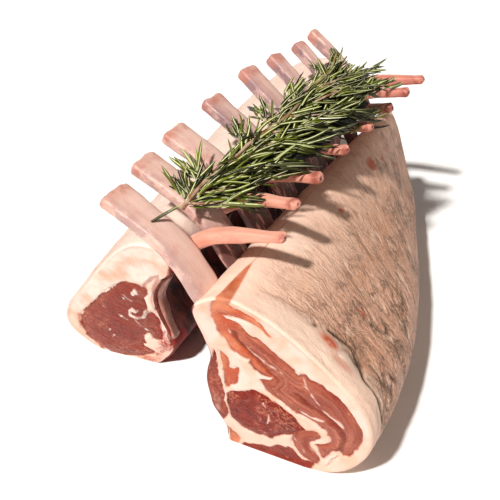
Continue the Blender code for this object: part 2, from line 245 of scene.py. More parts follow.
def rod_faces(rods, rings, sides):
    """The quads round so many equal rods, and the triangles over their ends."""
    k = np.arange(1, sides - 1)
    near = np.stack([0 * k, k, k + 1], axis=1)
    fans = np.concatenate([near, (rings - 1) * sides + near[:, ::-1]])
    first = (np.arange(rods) * rings * sides)[:, None, None]
    return (grid_faces(rings, sides, True) + first).reshape(-1, 4), (fans + first).reshape(-1, 3)


def put_mesh(name, points, quads, fans=(), marks=None):
    """A mesh object from points in millimetres, quads and triangles, with its marks as attributes."""
    mesh = bpy.data.meshes.new(name)
    tris = np.concatenate(fans) if len(fans) else np.zeros((0, 3), int)
    mesh.vertices.add(len(points))
    mesh.vertices.foreach_set("co", ((points + SHIFT) * MM).astype(np.float32).ravel())
    corners = np.concatenate([quads.ravel(), tris.ravel()])
    mesh.loops.add(len(corners))
    mesh.loops.foreach_set("vertex_index", corners.astype(np.int32))
    starts = np.concatenate([np.arange(len(quads)) * 4, len(quads) * 4 + np.arange(len(tris)) * 3])
    mesh.polygons.add(len(starts))
    mesh.polygons.foreach_set("loop_start", starts.astype(np.int32))
    mesh.update(calc_edges=True)
    mesh.shade_smooth()
    for mark, values in (marks or {}).items():
        values = np.asarray(values, np.float32)
        triple = values.size == 3 * len(points)
        layer = mesh.attributes.new(mark, "FLOAT_VECTOR" if triple else "FLOAT", "POINT")
        layer.data.foreach_set("vector" if triple else "value", values.ravel())
    if mesh.validate():
        raise RuntimeError("%s has faces that are not sound" % name)
    piece = bpy.data.objects.new(name, mesh)
    bpy.context.scene.collection.objects.link(piece)
    return piece


def closed_grid(name, grid, marks, flip=False, ends=(0, -1)):
    """A surface from rings of points: quads between the rings, and a fan over each closed end to the
    middle of the ring there."""
    rows, columns = grid.shape[:2]

    def spread(values):
        """The values of the rings, then the mean of each closed end."""
        return np.concatenate([values.reshape((-1,) + values.shape[2:]),
                               *(values[[end]].mean(axis=1) for end in ends)])

    k = np.arange(columns)
    fans = []
    for number, end in enumerate(ends):
        ring = end % rows * columns
        fan = np.stack([0 * k + rows * columns + number, ring + (k + 1) % columns, ring + k], axis=1)
        fans.append(fan[:, ::-1] if flip != bool(end) else fan)
    return put_mesh(name, spread(grid), grid_faces(rows, columns, flip), fans,
                    {mark: spread(values) for mark, values in marks.items()})


def dress(piece, finish, slot, *nodes):
    """Give a finished piece its material and its body, and hide the solids that it stands for. Its slot is
    not used.
    """
    piece.data.materials.append(finish)
    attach(piece, "root")
    for node in nodes:
        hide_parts(node)
    return piece


# ---- putting a material together ----

def colour(code):
    """Linear red, green, blue and alpha from a colour written as six hexadecimal digits."""
    value = np.array([int(code[k:k + 2], 16) for k in (0, 2, 4)]) / 255.0
    linear = np.where(value <= 0.04045, value / 12.92, ((value + 0.055) / 1.055) ** 2.4)
    return (*[float(v) for v in linear], 1.0)


class Tint:
    """A socket of a material, with arithmetic that adds its Math nodes."""

    def __init__(self, finish, link):
        self.finish, self.link = finish, link

    def maths(self, operation, *values):
        return self.finish.node("ShaderNodeMath", {"operation": operation}, dict(enumerate(values)))

    def __add__(self, other):
        return self.maths("ADD", self, other)

    def __sub__(self, other):
        return self.maths("SUBTRACT", self, other)

    def __rsub__(self, other):
        return self.maths("SUBTRACT", other, self)

    def __mul__(self, other):
        return self.maths("MULTIPLY", self, other)

    def __abs__(self):
        return self.maths("ABSOLUTE", self)

    def between(self, low, high):
        """0 below low and 1 above high."""
        values = {0: self, 1: low, 2: high, 3: 0.0, 4: 1.0}
        return self.finish.node("ShaderNodeMapRange", {"interpolation_type": "SMOOTHSTEP"}, values)

    __radd__ = __add__
    __rmul__ = __mul__


class Finish:
    """A material that is being put together round its Principled shader."""

    def __init__(self, name, **constants):
        self.material = bpy.data.materials.new(name)
        self.material.use_nodes = True
        self.tree = self.material.node_tree
        self.shader = self.tree.nodes["Principled BSDF"]
        for socket, value in constants.items():
            self.shader.inputs[socket.replace("_", " ")].default_value = value

    def node(self, kind, settings=None, values=None, output=0):
        """A node of a kind: its settings first, then the values or links of its sockets."""
        made = self.tree.nodes.new(kind)
        for key, value in (settings or {}).items():
            setattr(made, key, value)
        for socket, value in (values or {}).items():
            if isinstance(value, Tint):
                self.tree.links.new(value.link, made.inputs[socket])
            else:
                made.inputs[socket].default_value = value
        return Tint(self, made.outputs[output])

    def mark(self, name, output=2):
        """A number that the mesh carries at each point."""
        return self.node("ShaderNodeAttribute", {"attribute_name": name}, output=output)

    def spot(self):
        """Object coordinates."""
        return self.node("ShaderNodeTexCoord", output=3)

    def height(self):
        """Metres above the floor."""
        return self.node("ShaderNodeSeparateXYZ", {}, {0: self.spot()}, output=2)

    def grain(self, per_metre, detail=3.0, vector=None, roughness=0.5):
        """Noise from 0 to 1, with so many grains to a metre."""
        return self.node("ShaderNodeTexNoise", {}, {"Vector": vector or self.spot(), "Scale": per_metre,
                                                    "Detail": detail, "Roughness": roughness})

    def strands(self, spot, per_metre, turn=(0.0, 0.0, 0.0), detail=4.0, roughness=0.5):
        """Noise with so many grains to a metre along each axis, once the axes are turned."""
        vector = self.node("ShaderNodeMapping", {"vector_type": "TEXTURE"},
                           {0: spot, 2: turn, 3: tuple(1.0 / count for count in per_metre)})
        return self.grain(1.0, detail, vector, roughness)

    def flow(self, mark, per_metre, turn=0.0, detail=4.0, roughness=0.5):
        """Noise stretched along a place on the surface that the mesh carries as a vector."""
        return self.strands(self.mark(mark, 1), per_metre, (0.0, 0.0, turn), detail, roughness)

    def paint(self, base, *coats):
        """Colours laid over a base one after another, each as far as the factor before it says."""
        for factor, coat in coats:
            base = self.node("ShaderNodeMix", {"data_type": "RGBA"}, {0: factor, 6: base, 7: coat}, output=2)
        return base

    def bump(self, height, metres, strength=1.0):
        """A normal that follows a height map."""
        return self.node("ShaderNodeBump", {}, {"Height": height, "Distance": metres, "Strength": strength})

    def wear(self, **links):
        """Link values into the shader and hand the material over."""
        for socket, value in links.items():
            self.tree.links.new(value.link, self.shader.inputs[socket.replace("_", " ")])
        return self.material


# ---- the body of a rack ----

def section(k, s):
    """The body section between its two ends: each end is a closed Catmull-Rom curve through its named
    points, never below the floor, and the two are mixed in proportion to s."""
    ends = [curve(points, k, True) for points in (BODY_SHOULDER, BODY_LOIN)]
    for end in ends:
        end[..., 1] = np.maximum(end[..., 1], 0.0)
    return ends[0] + (ends[1] - ends[0]) * np.asarray(s)[..., None]


def place(rack, flat, s):
    """A section point into the object: the section narrows towards the loin, swells a little half-way,
    and turns and tilts with the cut at either end."""
    def between_ends(name, t):
        shoulder, loin = rack[name]
        return shoulder + (loin - shoulder) * t

    taper = s ** rack["ease"]
    across, up = flat[..., 0] * between_ends("width", taper), flat[..., 1] * between_ends("height", taper)
    across = across + rack["belly"] * np.sin(np.pi * s) * np.clip(flat[..., 0] / 70.0, 0.0, 1.0)
    y = between_ends("ends_y", s) + between_ends("slant", s) * across + between_ends("tilt", s) * up
    return np.stack([rack["side"] * (INNER + across), y, up], axis=-1)


def round_run():
    """Places round a section and how far round it they lie in millimetres, half-way along the rack."""
    k = np.linspace(0.0, POINTS, 2001)
    return k, run_of(section(k, np.full(k.shape, 0.4)))


def near_k(k, middle, half):
    """1 at a named point of the section, falling to 0 over half so many points on either side."""
    away = np.abs((k - middle + POINTS / 2) % POINTS - POINTS / 2)
    return 1.0 - ramp(0.0, half, away)


def wander_of(points, size, seed, octaves):
    """Two noises side by side, to bend a plane's points with."""
    return np.stack([rough(points, size, seed, octaves), rough(points, size, seed + 1, octaves)], axis=-1)


# The main fold beside the shoulder cut: millimetres round the section, and along the loin.
MAIN_FOLD = ((194, 14), (190, 16.4), (183.6, 19.0), (175, 20.8), (170, 18.0), (166, 14.2), (156, 12.6),
             (146, 13.2))


# The folds of the hide: size and stretch, turn, seed, depth and width of each set.
FOLDS = ((6.5, 3.6, 1.40, 11, 0.9, 0.13), (3.0, 4.0, 1.20, 12, 0.6, 0.2), (4.2, 3.2, 1.60, 14, 0.7, 0.15))


def hide_relief(rack, k, s, lay, grid):
    """How far the hide stands out, in millimetres: slow swells, then folds. A fold is a narrow valley
    along a zero line of a noise that is stretched round the section; a second, slower noise lets the
    folds come and go. On the right rack the fat swells into a roll beside the shoulder cut, with a deep
    fold behind it."""
    swell = 0.50 * rough(grid, 26.0, 3, 2) + 0.20 * rough(grid, 7.0, 5, 3)
    flank = near_k(k, 13.9, 3.0)
    if rack is RIGHT:
        flank = flank * (0.30 + 0.70 * (1.0 - ramp(0.25, 0.60, s))) * ramp(0.005, 0.06, s)
    else:
        flank = flank * 0.35
    folds = 0.0
    for size, stretch, turn, seed, depth, width in FOLDS:
        spot = np.stack([lay[..., 0] * np.cos(turn) - lay[..., 1] * np.sin(turn),
                         lay[..., 0] * np.sin(turn) + lay[..., 1] * np.cos(turn)], axis=-1)
        line = np.exp(-(rough(spot, (size, size * stretch, 9.0), seed, 2) / width) ** 2)
        folds = folds + depth * line * ramp(-0.10, 0.50, noise(lay, (20.0, 12.0, 9.0), seed + 40))
    folds = folds * (0.10 + 0.9 * flank)
    if rack is RIGHT:
        gap = gap_to(lay[..., :2], trace(MAIN_FOLD), reach=6.0)
        main = np.exp(-(gap / 1.3) ** 2) * ramp(-0.7, 0.1, rough(grid, 7.0, 81, 2))
        roll = ramp(0.0, 5.0, lay[..., 1]) * (1.0 - ramp(10.0, 17.0, lay[..., 1])) * near_k(k, 14.6, 2.2)
        swell, folds = swell + 1.1 * roll, folds * (1.0 - 0.8 * roll) + 1.3 * main
    return swell - folds, np.clip(folds, 0.0, 1.4)


def hide(rack, detail):
    """The body of one rack: the section carried along the loin, its ends rounded over the cut like a
    quarter circle of 1 mm, and the hide's relief along the normals."""
    rows, columns = int(rack["rows"] * detail), int(COLUMNS * detail)
    shoulder_y, loin_y = rack["ends_y"]
    length = abs(loin_y - shoulder_y)
    turn = np.linspace(0.0, 1.0, rows)
    places, run = round_run()
    s, k = np.meshgrid(np.clip(turn + 0.045 * np.sin(2 * np.pi * (turn - 0.5)), 0.0, 1.0),
                       np.interp(np.arange(columns) / columns * run[-1], run, places), indexing="ij")
    flat = section(k, s)
    grid = place(rack, flat, s)
    flip = rack["side"] * np.sign(loin_y - shoulder_y)
    lay = np.stack([np.interp(k, places, run), s * length, 0.0 * k], axis=-1)
    lay[..., :2] += 2.4 * wander_of(grid, 13.0, 15, 3)
    relief, folds = hide_relief(rack, k, s, lay, grid)
    from_end = np.minimum(s, 1.0 - s) * length
    outer = ramp(8.0, 10.5, k) * (1.0 - ramp(19.6, 20.0, k))
    corner = 1.0 - np.sqrt(1.0 - (1.0 - np.clip(from_end, 0.0, 1.0)) ** 2)
    lift = relief * ramp(0.0, 5.0, from_end) * (0.35 + 0.65 * outer) - corner
    grid = grid + outward(grid, flip) * (lift * ramp(0.0, 6.0, grid[..., 2]))[..., None]
    return dict(grid=grid, flat=flat, k=k, s=s, flip=flip, folds=folds, lay=lay, rack=rack)


# Stains on each hide: place round and along, size round and along, and strength.
STAINS = dict(
    right=((15.6, 0.066, 0.30, 0.016, 1.0), (15.2, 0.045, 0.45, 0.014, 0.5), (15.35, 0.225, 0.16, 0.006, 0.9),
           (17.25, 0.45, 0.10, 0.012, 0.8), (17.3, 0.705, 0.24, 0.022, 1.0), (16.15, 0.865, 0.10, 0.012, 0.8),
           (17.0, 0.78, 0.08, 0.008, 0.7), (17.15, 0.825, 0.07, 0.008, 0.7)),
    left=((18.9, 0.97, 0.5, 0.03, 0.8),),
)


def hide_marks(body):
    """What the hide's finish reads: how much is inner wall, how brown it is, its folds, its stains, and
    the orange strip of sinew at the shoulder end."""
    k, s, grid, rack = body["k"], body["s"], body["grid"], body["rack"]
    wander = 0.45 * rough(grid, 14.0, 21, 4)
    inner = 1.0 - ramp(7.4, 8.6, k) * (1.0 - ramp(19.55, 19.95, k))
    ragged = 0.8 if rack is RIGHT else 0.5
    stains = most(
        depth * (1.0 - ramp(0.3, 1.3, np.hypot((k - at_k) / size_k, (s - at_s) / size_s) + ragged * wander))
        for at_k, at_s, size_k, size_s, depth in STAINS[rack["name"]])
    if rack is RIGHT:
        roll = 0.9 * (1.0 - ramp(0.055, 0.105, s + 0.02 * wander - 0.018 * near_k(k, 15.2, 1.2)))
        cream = np.maximum(ramp(14.8, 18.7, k + wander) * (1.0 - 0.28 * ramp(0.30, 0.80, s)), roll)
        half = 0.30 * np.clip(1.0 - s / 0.135, 0.0, 1.0) ** 0.8
        sinew = ramp(-0.05, 0.03, half - np.abs(k - 18.27 - 0.7 * s) + 0.03 * wander)
    else:
        cream = 0.75 + 0.25 * ramp(13.5, 17.0, k + wander)
        sinew = 0.0 * k
        wet = inner * ramp(3.2, 4.4, k) * ramp(0.86, 0.97, s) * ramp(-0.3, 0.3, rough(grid, 4.0, 23, 3))
        stains = np.maximum(stains * (1.0 - inner), wet)
    ends = 1.0 - ramp(0.02, 0.07, np.minimum(s, 1.0 - s) + 0.02 * wander)
    # On the inner wall, brown marks the stretch near either cut, where the finish lets red meat show through
    # the painted shade.
    return dict(inner=inner, brown=np.where(inner > 0.5, ends, 1.0 - cream), folds=body["folds"],
                stain=stains, sinew=sinew, lay=body["lay"] * MM)


# ---- the cut faces ----
# The muscles and seams of the two cuts, as (across, up) in the section's own millimetres.
CAP = ((4, 73), (5, 67), (8, 62), (11, 58), (15, 54), (18, 52.5), (21.5, 52.7), (21.3, 50.6), (24, 48),
       (28, 46.4), (31, 47), (30.5, 45.6), (28, 44.7), (26, 43.3), (27, 41), (30, 38), (35, 35.4), (40, 33.2),
       (45, 31.2), (50, 29.4), (54.5, 27.2), (57, 23.6), (57, 20), (54.5, 17.2), (51.2, 15.8), (52.5, 12.5),
       (54.5, 8.5), (56, 10.5), (57.8, 15), (60.5, 15.6), (64, 15.2), (67, 18), (69.5, 23), (70.5, 28),
       (70, 33), (68, 37.5), (65, 42), (62, 46), (58, 49), (54, 50.7), (52, 52.3), (47, 53), (44.3, 55.3),
       (42.5, 54.2), (40, 55.5), (35, 58.5), (30, 61.8), (25, 65.2), (22, 65.6), (19, 67.5), (17, 70),
       (11, 71.2), (9, 72.6))
LOBE = ((4, 73), (4.8, 79), (8, 82.6), (13, 82), (12.5, 79.5), (20, 77), (25, 75), (28, 70.6), (30, 68.5),
        (28, 68.5), (25, 71.5), (20, 73), (15, 73.4), (10, 73.2), (7, 71.5))
SMALL = ((7.4, 52.3), (11.4, 49.2), (11.9, 44.5), (16.3, 46), (15.6, 37.9), (13, 35.1), (10.8, 34),
         (8.2, 45.3))
STRIP = ((4.6, 52), (3.2, 47), (0.6, 32), (1.6, 22), (3.6, 16), (6.6, 12.5), (9, 12.8), (11, 15), (11.6, 20),
         (10, 25), (9.8, 30), (8, 35), (6, 44))
EYE = ((11, 29), (13, 31), (15, 32), (19, 34), (22, 36), (24, 36.5), (30, 35.2), (35, 32.5), (40, 29.8),
       (42, 27.5), (44, 24.5), (46, 22.5), (44, 21), (41, 18.5), (39, 16.5), (35, 14.8), (31, 11.2),
       (27, 10.8), (21, 10.8), (15, 13.8), (12.5, 15.5), (12, 20), (11.5, 25))
MARBLED = ((40, 20), (43, 21), (46, 22), (50, 23.8), (53, 22.3), (53, 20), (49, 16), (50.5, 12), (52.8, 8),
           (52, 3.5), (47, 4.5), (43, 8), (41, 12), (40.6, 16))
CHINE = ((17, -1), (20, 2), (25, 3.5), (28, 4.8), (31, 5), (34, 7.8), (38, 8.2), (40, 9.2), (45, 4.2),
         (51, 3), (47, -1), (30, -1))
CORNER = ((10, 9), (13, 7), (16, 5.5), (16.5, 2), (15, -1), (12, -1), (12.5, 3), (11, 7))
SEAMS = (((20, 60), (25, 56.5), (30, 54.5), (36, 52)), ((44, 55), (46, 49), (49, 45), (52, 41.5)),
         ((41.5, 17), (44, 13), (46, 10), (48, 6)), ((46, 17), (47, 14), (50, 12), (52, 8)),
         ((28.5, 32), (29.5, 28), (30.5, 24), (29.8, 21)), ((13, 65), (9.5, 69.5)))
WEDGES = (((53.5, 39.5), (55, 38), (60, 35.5), (62.3, 32.8), (60, 32.8), (56, 35.5), (54, 37.6)),
          ((44, 34), (48, 33.2), (54, 33.6), (52, 32), (46, 32)),
          ((60, 15), (57, 11), (55.5, 5), (57.6, 6), (59.6, 11), (61, 15)))
CREASES = (((15, 65), (16, 62), (20, 58.5), (25, 54), (30, 49.5), (33, 47)),
           ((42, 43), (48, 39), (54, 36.6), (60, 31.5), (62.5, 27), (62.5, 20), (61, 14)),
           ((62.5, 15), (60, 10), (57.6, 5)))
LOIN_EYE = ((12, 53.5), (15, 53.5), (20, 54), (22, 53.5), (25, 51.5), (28, 49.5), (32, 45.5), (36, 40.5),
            (40, 35.5), (45, 29.5), (49, 24.5), (51, 20), (51, 15), (50.5, 11), (49, 7), (46.5, 4.5),
            (42, 0.5), (37, -0.5), (30, 0.3), (25, 1), (20, 3.5), (16, 6), (14.5, 9), (20, 11.5),
            (17.5, 13.5), (18.3, 16.5), (17, 19), (14.5, 21.2), (13, 18.5), (10, 18), (8.5, 21), (8, 31),
            (9, 36.5), (11.5, 39), (13, 42), (13.5, 46), (11, 49))
LOIN_HOOK = ((11.5, 39), (14, 37), (16, 33.5), (18, 32), (21, 33), (21.5, 35.5), (20, 37.5), (18.5, 37))
LOIN_LINES = (((13, 41.5), (18, 43), (24, 46)), ((24, 29.5), (30, 32), (36, 35)), ((17, 26), (19.5, 30)))
LOIN_FLECKS = ((23.5, 43.3, 0.8), (16.8, 49.3, 1.5), (18.2, 47.8, 1.2), (15.8, 24.0, 1.4), (35, 18.6, 0.7),
               (33.5, 15.2, 0.9), (40.5, 1.0, 1.8), (26, 30.5, 0.8))
LOIN_MEDIAL = ((5, 61), (7.5, 55), (8.5, 50), (8, 45), (6.5, 40), (4, 42), (2.5, 55))
CUT_MIDDLE = np.array([32.0, 34.0])
LOIN_WALL = ((-4, 66), (1, 62), (4, 57), (5.5, 50), (7, 44), (7.5, 40), (5.5, 39), (5.5, 33), (4, 29),
             (4.5, 20), (3, 14), (-2, 12))


WARM_BEND = ((8, 62), (15, 53), (22, 52), (31, 46), (31, 49.5), (24, 54.5), (15, 63), (10, 65))
PALE_FOOT = ((5, 28), (7, 27), (8, 20), (6, 17.5), (4.6, 20))
LOIN_RAGGED = ((5, 61), (8, 59), (10.5, 56), (12, 54))
LOIN_WARM = ((43, 5), (46, 4), (46.5, -1), (42, -1))
# Wet patches: middle, half width and height, strength, firm part and raggedness. Then trails: the line,
# its width and softness, its strength, and the seed of the noise that breaks it up.
LOIN_POOLS = ((6.5, 17, 5.5, 8.0, 1.0, 0.2, 0.25), (10.3, 36, 2.0, 2.0, 1.0, 0.2, 0.0),
              (18, 2, 6.0, 3.0, 0.7, 0.3, 0.0))
LOIN_TRAILS = ((((9, 35), (8.6, 28), (9.5, 20)), 1.5, 1.2, 0.6, 0),
               (((51, 22), (51.5, 14)), 0.8, 1.6, 0.6, 0),
               (((6, 44), (6.5, 36), (7, 28), (9, 22), (8, 14), (12, 8)), 2.0, 2.5, 0.75, 37),
               (((12, 4), (22, 0.5), (34, -1)), 1.0, 1.8, 0.65, 38))


def shoulder_cut(flat):
    """The marks of the shoulder cut: where lies muscle, how dark or how orange it is, its pale seams
    and its creases, which the finish darkens as painted shade."""
    warp = flat + 0.6 * wander_of(flat, 3.5, 31, 4)
    x, z = flat[..., 0], flat[..., 1]
    come = ramp(-0.55, 0.45, rough(flat, 3.2, 35, 3))
    muscles = (LOBE, CAP, SMALL, STRIP, EYE, MARBLED)
    lobe, cap, small, strip, eye, marbled = (area_of(warp, outline) for outline in muscles)
    chine, corner = area_of(warp, CHINE), area_of(warp, CORNER)
    meat = most((lobe, cap, small, strip, eye, marbled, chine, corner))
    warm = most((0.95 * lobe, 0.75 * small, 0.8 * corner, cap * area_of(warp, WARM_BEND, 1.0),
                 cap * (1.0 - ramp(9.0, 26.0, x + 0.4 * (74 - z) * 0.5)) * 0.85))
    dark = most((eye, 0.85 * chine, 0.55 * strip, 0.25 * marbled))
    seam = most([0.85 * come * line_of(warp, line, 0.4, 0.4) for line in SEAMS] +
                [area_of(warp, wedge, 0.3) for wedge in WEDGES] +
                [0.35 * come * area_of(warp, PALE_FOOT, 0.9)])
    crease = most(line_of(warp, line, 0.5, 1.3) for line in CREASES)
    shape = most(depth_in(flat, outline) for outline in muscles)
    edge = np.exp(-(shape / 0.7) ** 2)
    layer = np.stack([depth_in(warp, CAP), x, z], axis=-1) * MM
    relief = (-0.35 * meat + 0.55 * ramp(0.0, 4.0, shape) - 0.45 * edge - 0.9 * crease + 0.25 * seam
              + 0.22 * noise(layer, (0.0016, 0.02, 0.02), 46) * cap)
    # crease is painted shade: dark in the creases and along the sunk edges of the muscles.
    return dict(meat=meat, warm=warm, dark=dark, seam=seam, crease=np.maximum(crease, 0.35 * edge * meat),
                blood=0.0 * x, layer=layer), relief


def loin_cut(flat):
    """The marks of the loin cut, named like those of the shoulder cut, and its wet red patches."""
    warp = flat + 0.8 * wander_of(flat, 4.0, 33, 4)
    x, z = flat[..., 0], flat[..., 1]
    come = ramp(-0.5, 0.5, rough(flat, 3.0, 36, 3))
    eye, wall = area_of(warp, LOIN_EYE), area_of(warp, LOIN_WALL, 0.6)
    meat = most((eye, wall, 0.6 * area_of(warp, LOIN_MEDIAL, 0.8),
                 0.6 * line_of(warp, LOIN_RAGGED, 1.0, 0.8)))
    hook = line_of(warp, LOIN_HOOK, 1.3, 0.5)
    flecks = most(1.0 - ramp(0.4 * r, r, np.hypot(warp[..., 0] - a, (warp[..., 1] - b) * 0.8))
                  for a, b, r in LOIN_FLECKS)
    seam = most([hook * (0.35 + 0.65 * come), flecks] +
                [0.5 * come * line_of(warp, line, 0.4, 0.5) for line in LOIN_LINES])
    shape = depth_in(flat, LOIN_EYE)
    # The inner wall takes the eye's dark colour: dark meat, and painted shade of the hollow between the
    # racks.
    dark = np.clip(eye * (0.50 + 0.25 * ramp(0.0, 5.0, shape)) + 0.9 * wall, 0, 1)
    patches = [strength * (1.0 - ramp(firm, 1.2, np.hypot((x - a) / wide, (z - b) / high)
                                      + ragged * (1 - come)))
               for a, b, wide, high, strength, firm, ragged in LOIN_POOLS]
    for line, width, soft, strength, seed in LOIN_TRAILS:
        broken = ramp(-0.1, 0.5, rough(flat, 2.6, seed, 3)) if seed else 1.0
        patches.append(strength * line_of(warp, line, width, soft) * broken)
    edge = np.exp(-(shape / 0.7) ** 2)
    relief = -0.3 * eye + 0.7 * ramp(0.0, 7.0, shape) - 0.45 * edge + 0.5 * hook + 0.4 * flecks - 1.5 * wall
    # crease here is painted shade along the eye's sunk edge and over the sunk inner wall.
    return dict(meat=meat, warm=0.75 * area_of(warp, LOIN_WARM, 0.8), dark=dark, seam=seam,
                crease=0.4 * edge * eye + 0.5 * wall, blood=most(patches),
                layer=np.stack([x * -0.41 + z * 0.91, x, z], axis=-1) * MM), relief


def cut_face(body, end, rows, name, cut):
    """A cut face: rings that shrink from the end ring of the hide to a point inside the section. Its
    relief stands out along the loin and fades to nothing at the rim."""
    rim, flat_rim, rack = body["grid"][-end], body["flat"][-end], body["rack"]
    r = np.maximum(np.linspace(0.0, 1.0, rows)[:, None], 0.004)
    flat = CUT_MIDDLE + (flat_rim - CUT_MIDDLE) * r[..., None]
    grid = place(rack, flat, np.full(flat.shape[:-1], float(end)))
    grid = grid + (rim - grid[-1]) * (r ** 8)[..., None]
    marks, relief = cut(flat)
    grain = 0.10 * rough(grid, 1.6, 41, 2) * marks["meat"] + 0.12 * rough(grid, 5.0, 43, 2)
    shoulder_y, loin_y = rack["ends_y"]
    away = np.sign(shoulder_y - loin_y) * (-1.0 if end else 1.0)
    grid[..., 1] += away * (relief + grain + 0.9 * noise(grid, 22.0, 44)) * (1.0 - ramp(0.93, 1.0, r))
    return closed_grid(name, grid, marks, (body["flip"] > 0) == (end == 1), (0,))


# ---- ribs ----

def bed(rack, s, up):
    """How far across the middle of a rib lies in the meat at a height: a little behind the inner wall,
    which is a blend of both end sections."""
    ends = [np.array(points[:WALL])[::-1] for points in (BODY_SHOULDER, BODY_LOIN)]
    at = [np.interp(up, end[:, 1], end[:, 0]) for end in ends]
    mix = s ** rack["ease"]
    return (1.0 - mix) * (at[0] + RIB_SINK) + mix * (at[1] + RIB_SINK) * rack["width"][1]


def rib(rack, index, rows=66, sides=44):
    """One rib bone: a flat bar carried along a curve from the chine, up the inner wall, out of the meat
    at the neck and over towards the other rack. Its section is a superellipse with rounded corners. The
    sawn end is flat and a little ragged, with a rounded rim and the marrow sunk in its middle."""
    neck_y, (shoulder_y, loin_y) = rack["rib_y"][index], rack["ends_y"]
    s = (neck_y - shoulder_y) / (loin_y - shoulder_y)
    reach, tip_y, tip_up = rack["tips"][index]
    line = ([(bed(rack, s, up), up) for up in RIB_HEIGHTS]
            + [(across, up + (tip_up - TIP_UP) * follow) for across, up, follow in RIB_BEND]
            + [(-INNER - reach, tip_up)])
    path = curve(line, np.linspace(0.0, len(line) - 1, 241))
    run = run_of(path)
    length = run[-1]
    blunt, flat_rows, round_rows = 1.7, 6, 5
    shaft = rows - flat_rows - round_rows
    bow = np.linspace(0.0, np.pi / 2, round_rows + 1)[1:]
    at = np.concatenate([np.linspace(0.0, length - blunt, shaft), length - blunt + blunt * np.sin(bow),
                         np.full(flat_rows, length)])
    shrink = np.concatenate([np.zeros(shaft), blunt * (1.0 - np.cos(bow)), np.full(flat_rows, blunt)])
    close = np.concatenate([np.ones(rows - flat_rows), np.linspace(0.85, 0.03, flat_rows)])
    neck = np.interp(NECK_UP, path[:, 1], run)
    past = (at - neck) / (length - neck)
    sweep = (tip_y - neck_y) * np.maximum(past, 0.0) ** rack["swing"]
    sweep -= rack["chine_sweep"] * np.minimum(past, 0.0) * (length - neck) / max(neck, 1.0) * 0.5
    centre = np.stack([rack["side"] * (INNER + np.interp(at, run, path[:, 0])), neck_y + sweep,
                       np.interp(at, run, path[:, 1])], axis=1)
    along = np.gradient(centre[:shaft], axis=0)
    along = unit(np.concatenate([along, np.repeat(along[-1:], rows - shaft, axis=0)]))
    broad = unit(np.array([0.0, 1.0, 0.0]) - along * along[:, 1:2])
    thin = np.cross(along, broad)
    at, past, shrink, close = (values[:, None] for values in (at, past, shrink, close))
    free = ramp(-0.12, 0.12, past)
    swell = 1.0 + 0.03 * ramp(0.70, 0.98, past) - 0.05 * np.sin(np.pi * np.clip(past, 0, 1))
    if rack is RIGHT:
        grey, wall_top, wall_part, tip_part = RIB_GREY[index], 0.30 if index else -0.3, 1.0, 1.0
    else:
        grey, wall_top, wall_part, tip_part = 0.9 * index / 8, 0.04, 1.0 if index else 0.6, 0.7
        swell = swell * (1.0 - 0.36 * ramp(0.45, 0.95, past))
    half_width, half_thick = (
        np.maximum(size / 2 * (1.0 - hidden + hidden * free) * swell - shrink * 0.8, 0.3) * close
        for size, hidden in ((rack["rib_width"][index], 0.2), (RIB_THICKNESS, 0.25)))
    spin = (np.arange(sides) + 0.5) * 2 * np.pi / sides
    over, out = (np.sign(v) * np.abs(v) ** rack["squareness"] for v in (np.cos(spin), np.sin(spin)))
    arm = broad[:, None] * (half_width * over)[..., None] + thin[:, None] * (half_thick * out)[..., None]
    grid = centre[:, None] + arm
    lump = 0.30 * rough(grid, 10.0, 51 + index, 2) + 0.12 * rough(grid, 2.6, 71 + index, 3)
    grid = grid + unit(arm) * (lump * close)[..., None]
    ragged = 0.5 * rough(grid, 3.5, 91 + index, 2) + 0.25 * rough(grid, 1.2, 95 + index, 2)
    marrow = 0.2 * (1.0 - ramp(0.20, 0.75, close)) * ramp(-0.5, 0.0, at - length)
    grid = grid + along[:, None] * (ragged * ramp(-1.6, 0.0, at - length) - marrow)[..., None]
    band = (5.5 + 2.0 * noise(grid, 6.0, 97 + index)) * tip_part
    # The stretch of rib down the inner wall, which the finish darkens as painted shade.
    wall = wall_part * (1.0 - ramp(-0.10, 0.10, past - wall_top + 0.07 * rough(grid, 5.0, 99 + index, 2)))
    full = np.ones((rows, sides))
    marks = dict(wall=wall, over=over * full, end=(1.0 - close) * full, grey=grey * full,
                 tip=ramp(-0.7, 0.7, band - (length - at)),
                 lay=np.stack([at * MM * full, over * 0.006 * full, (out * 0.003 + index) * full], axis=-1))
    return closed_grid("%s_rib_bone_%d" % (rack["name"], index + 1), grid, marks)


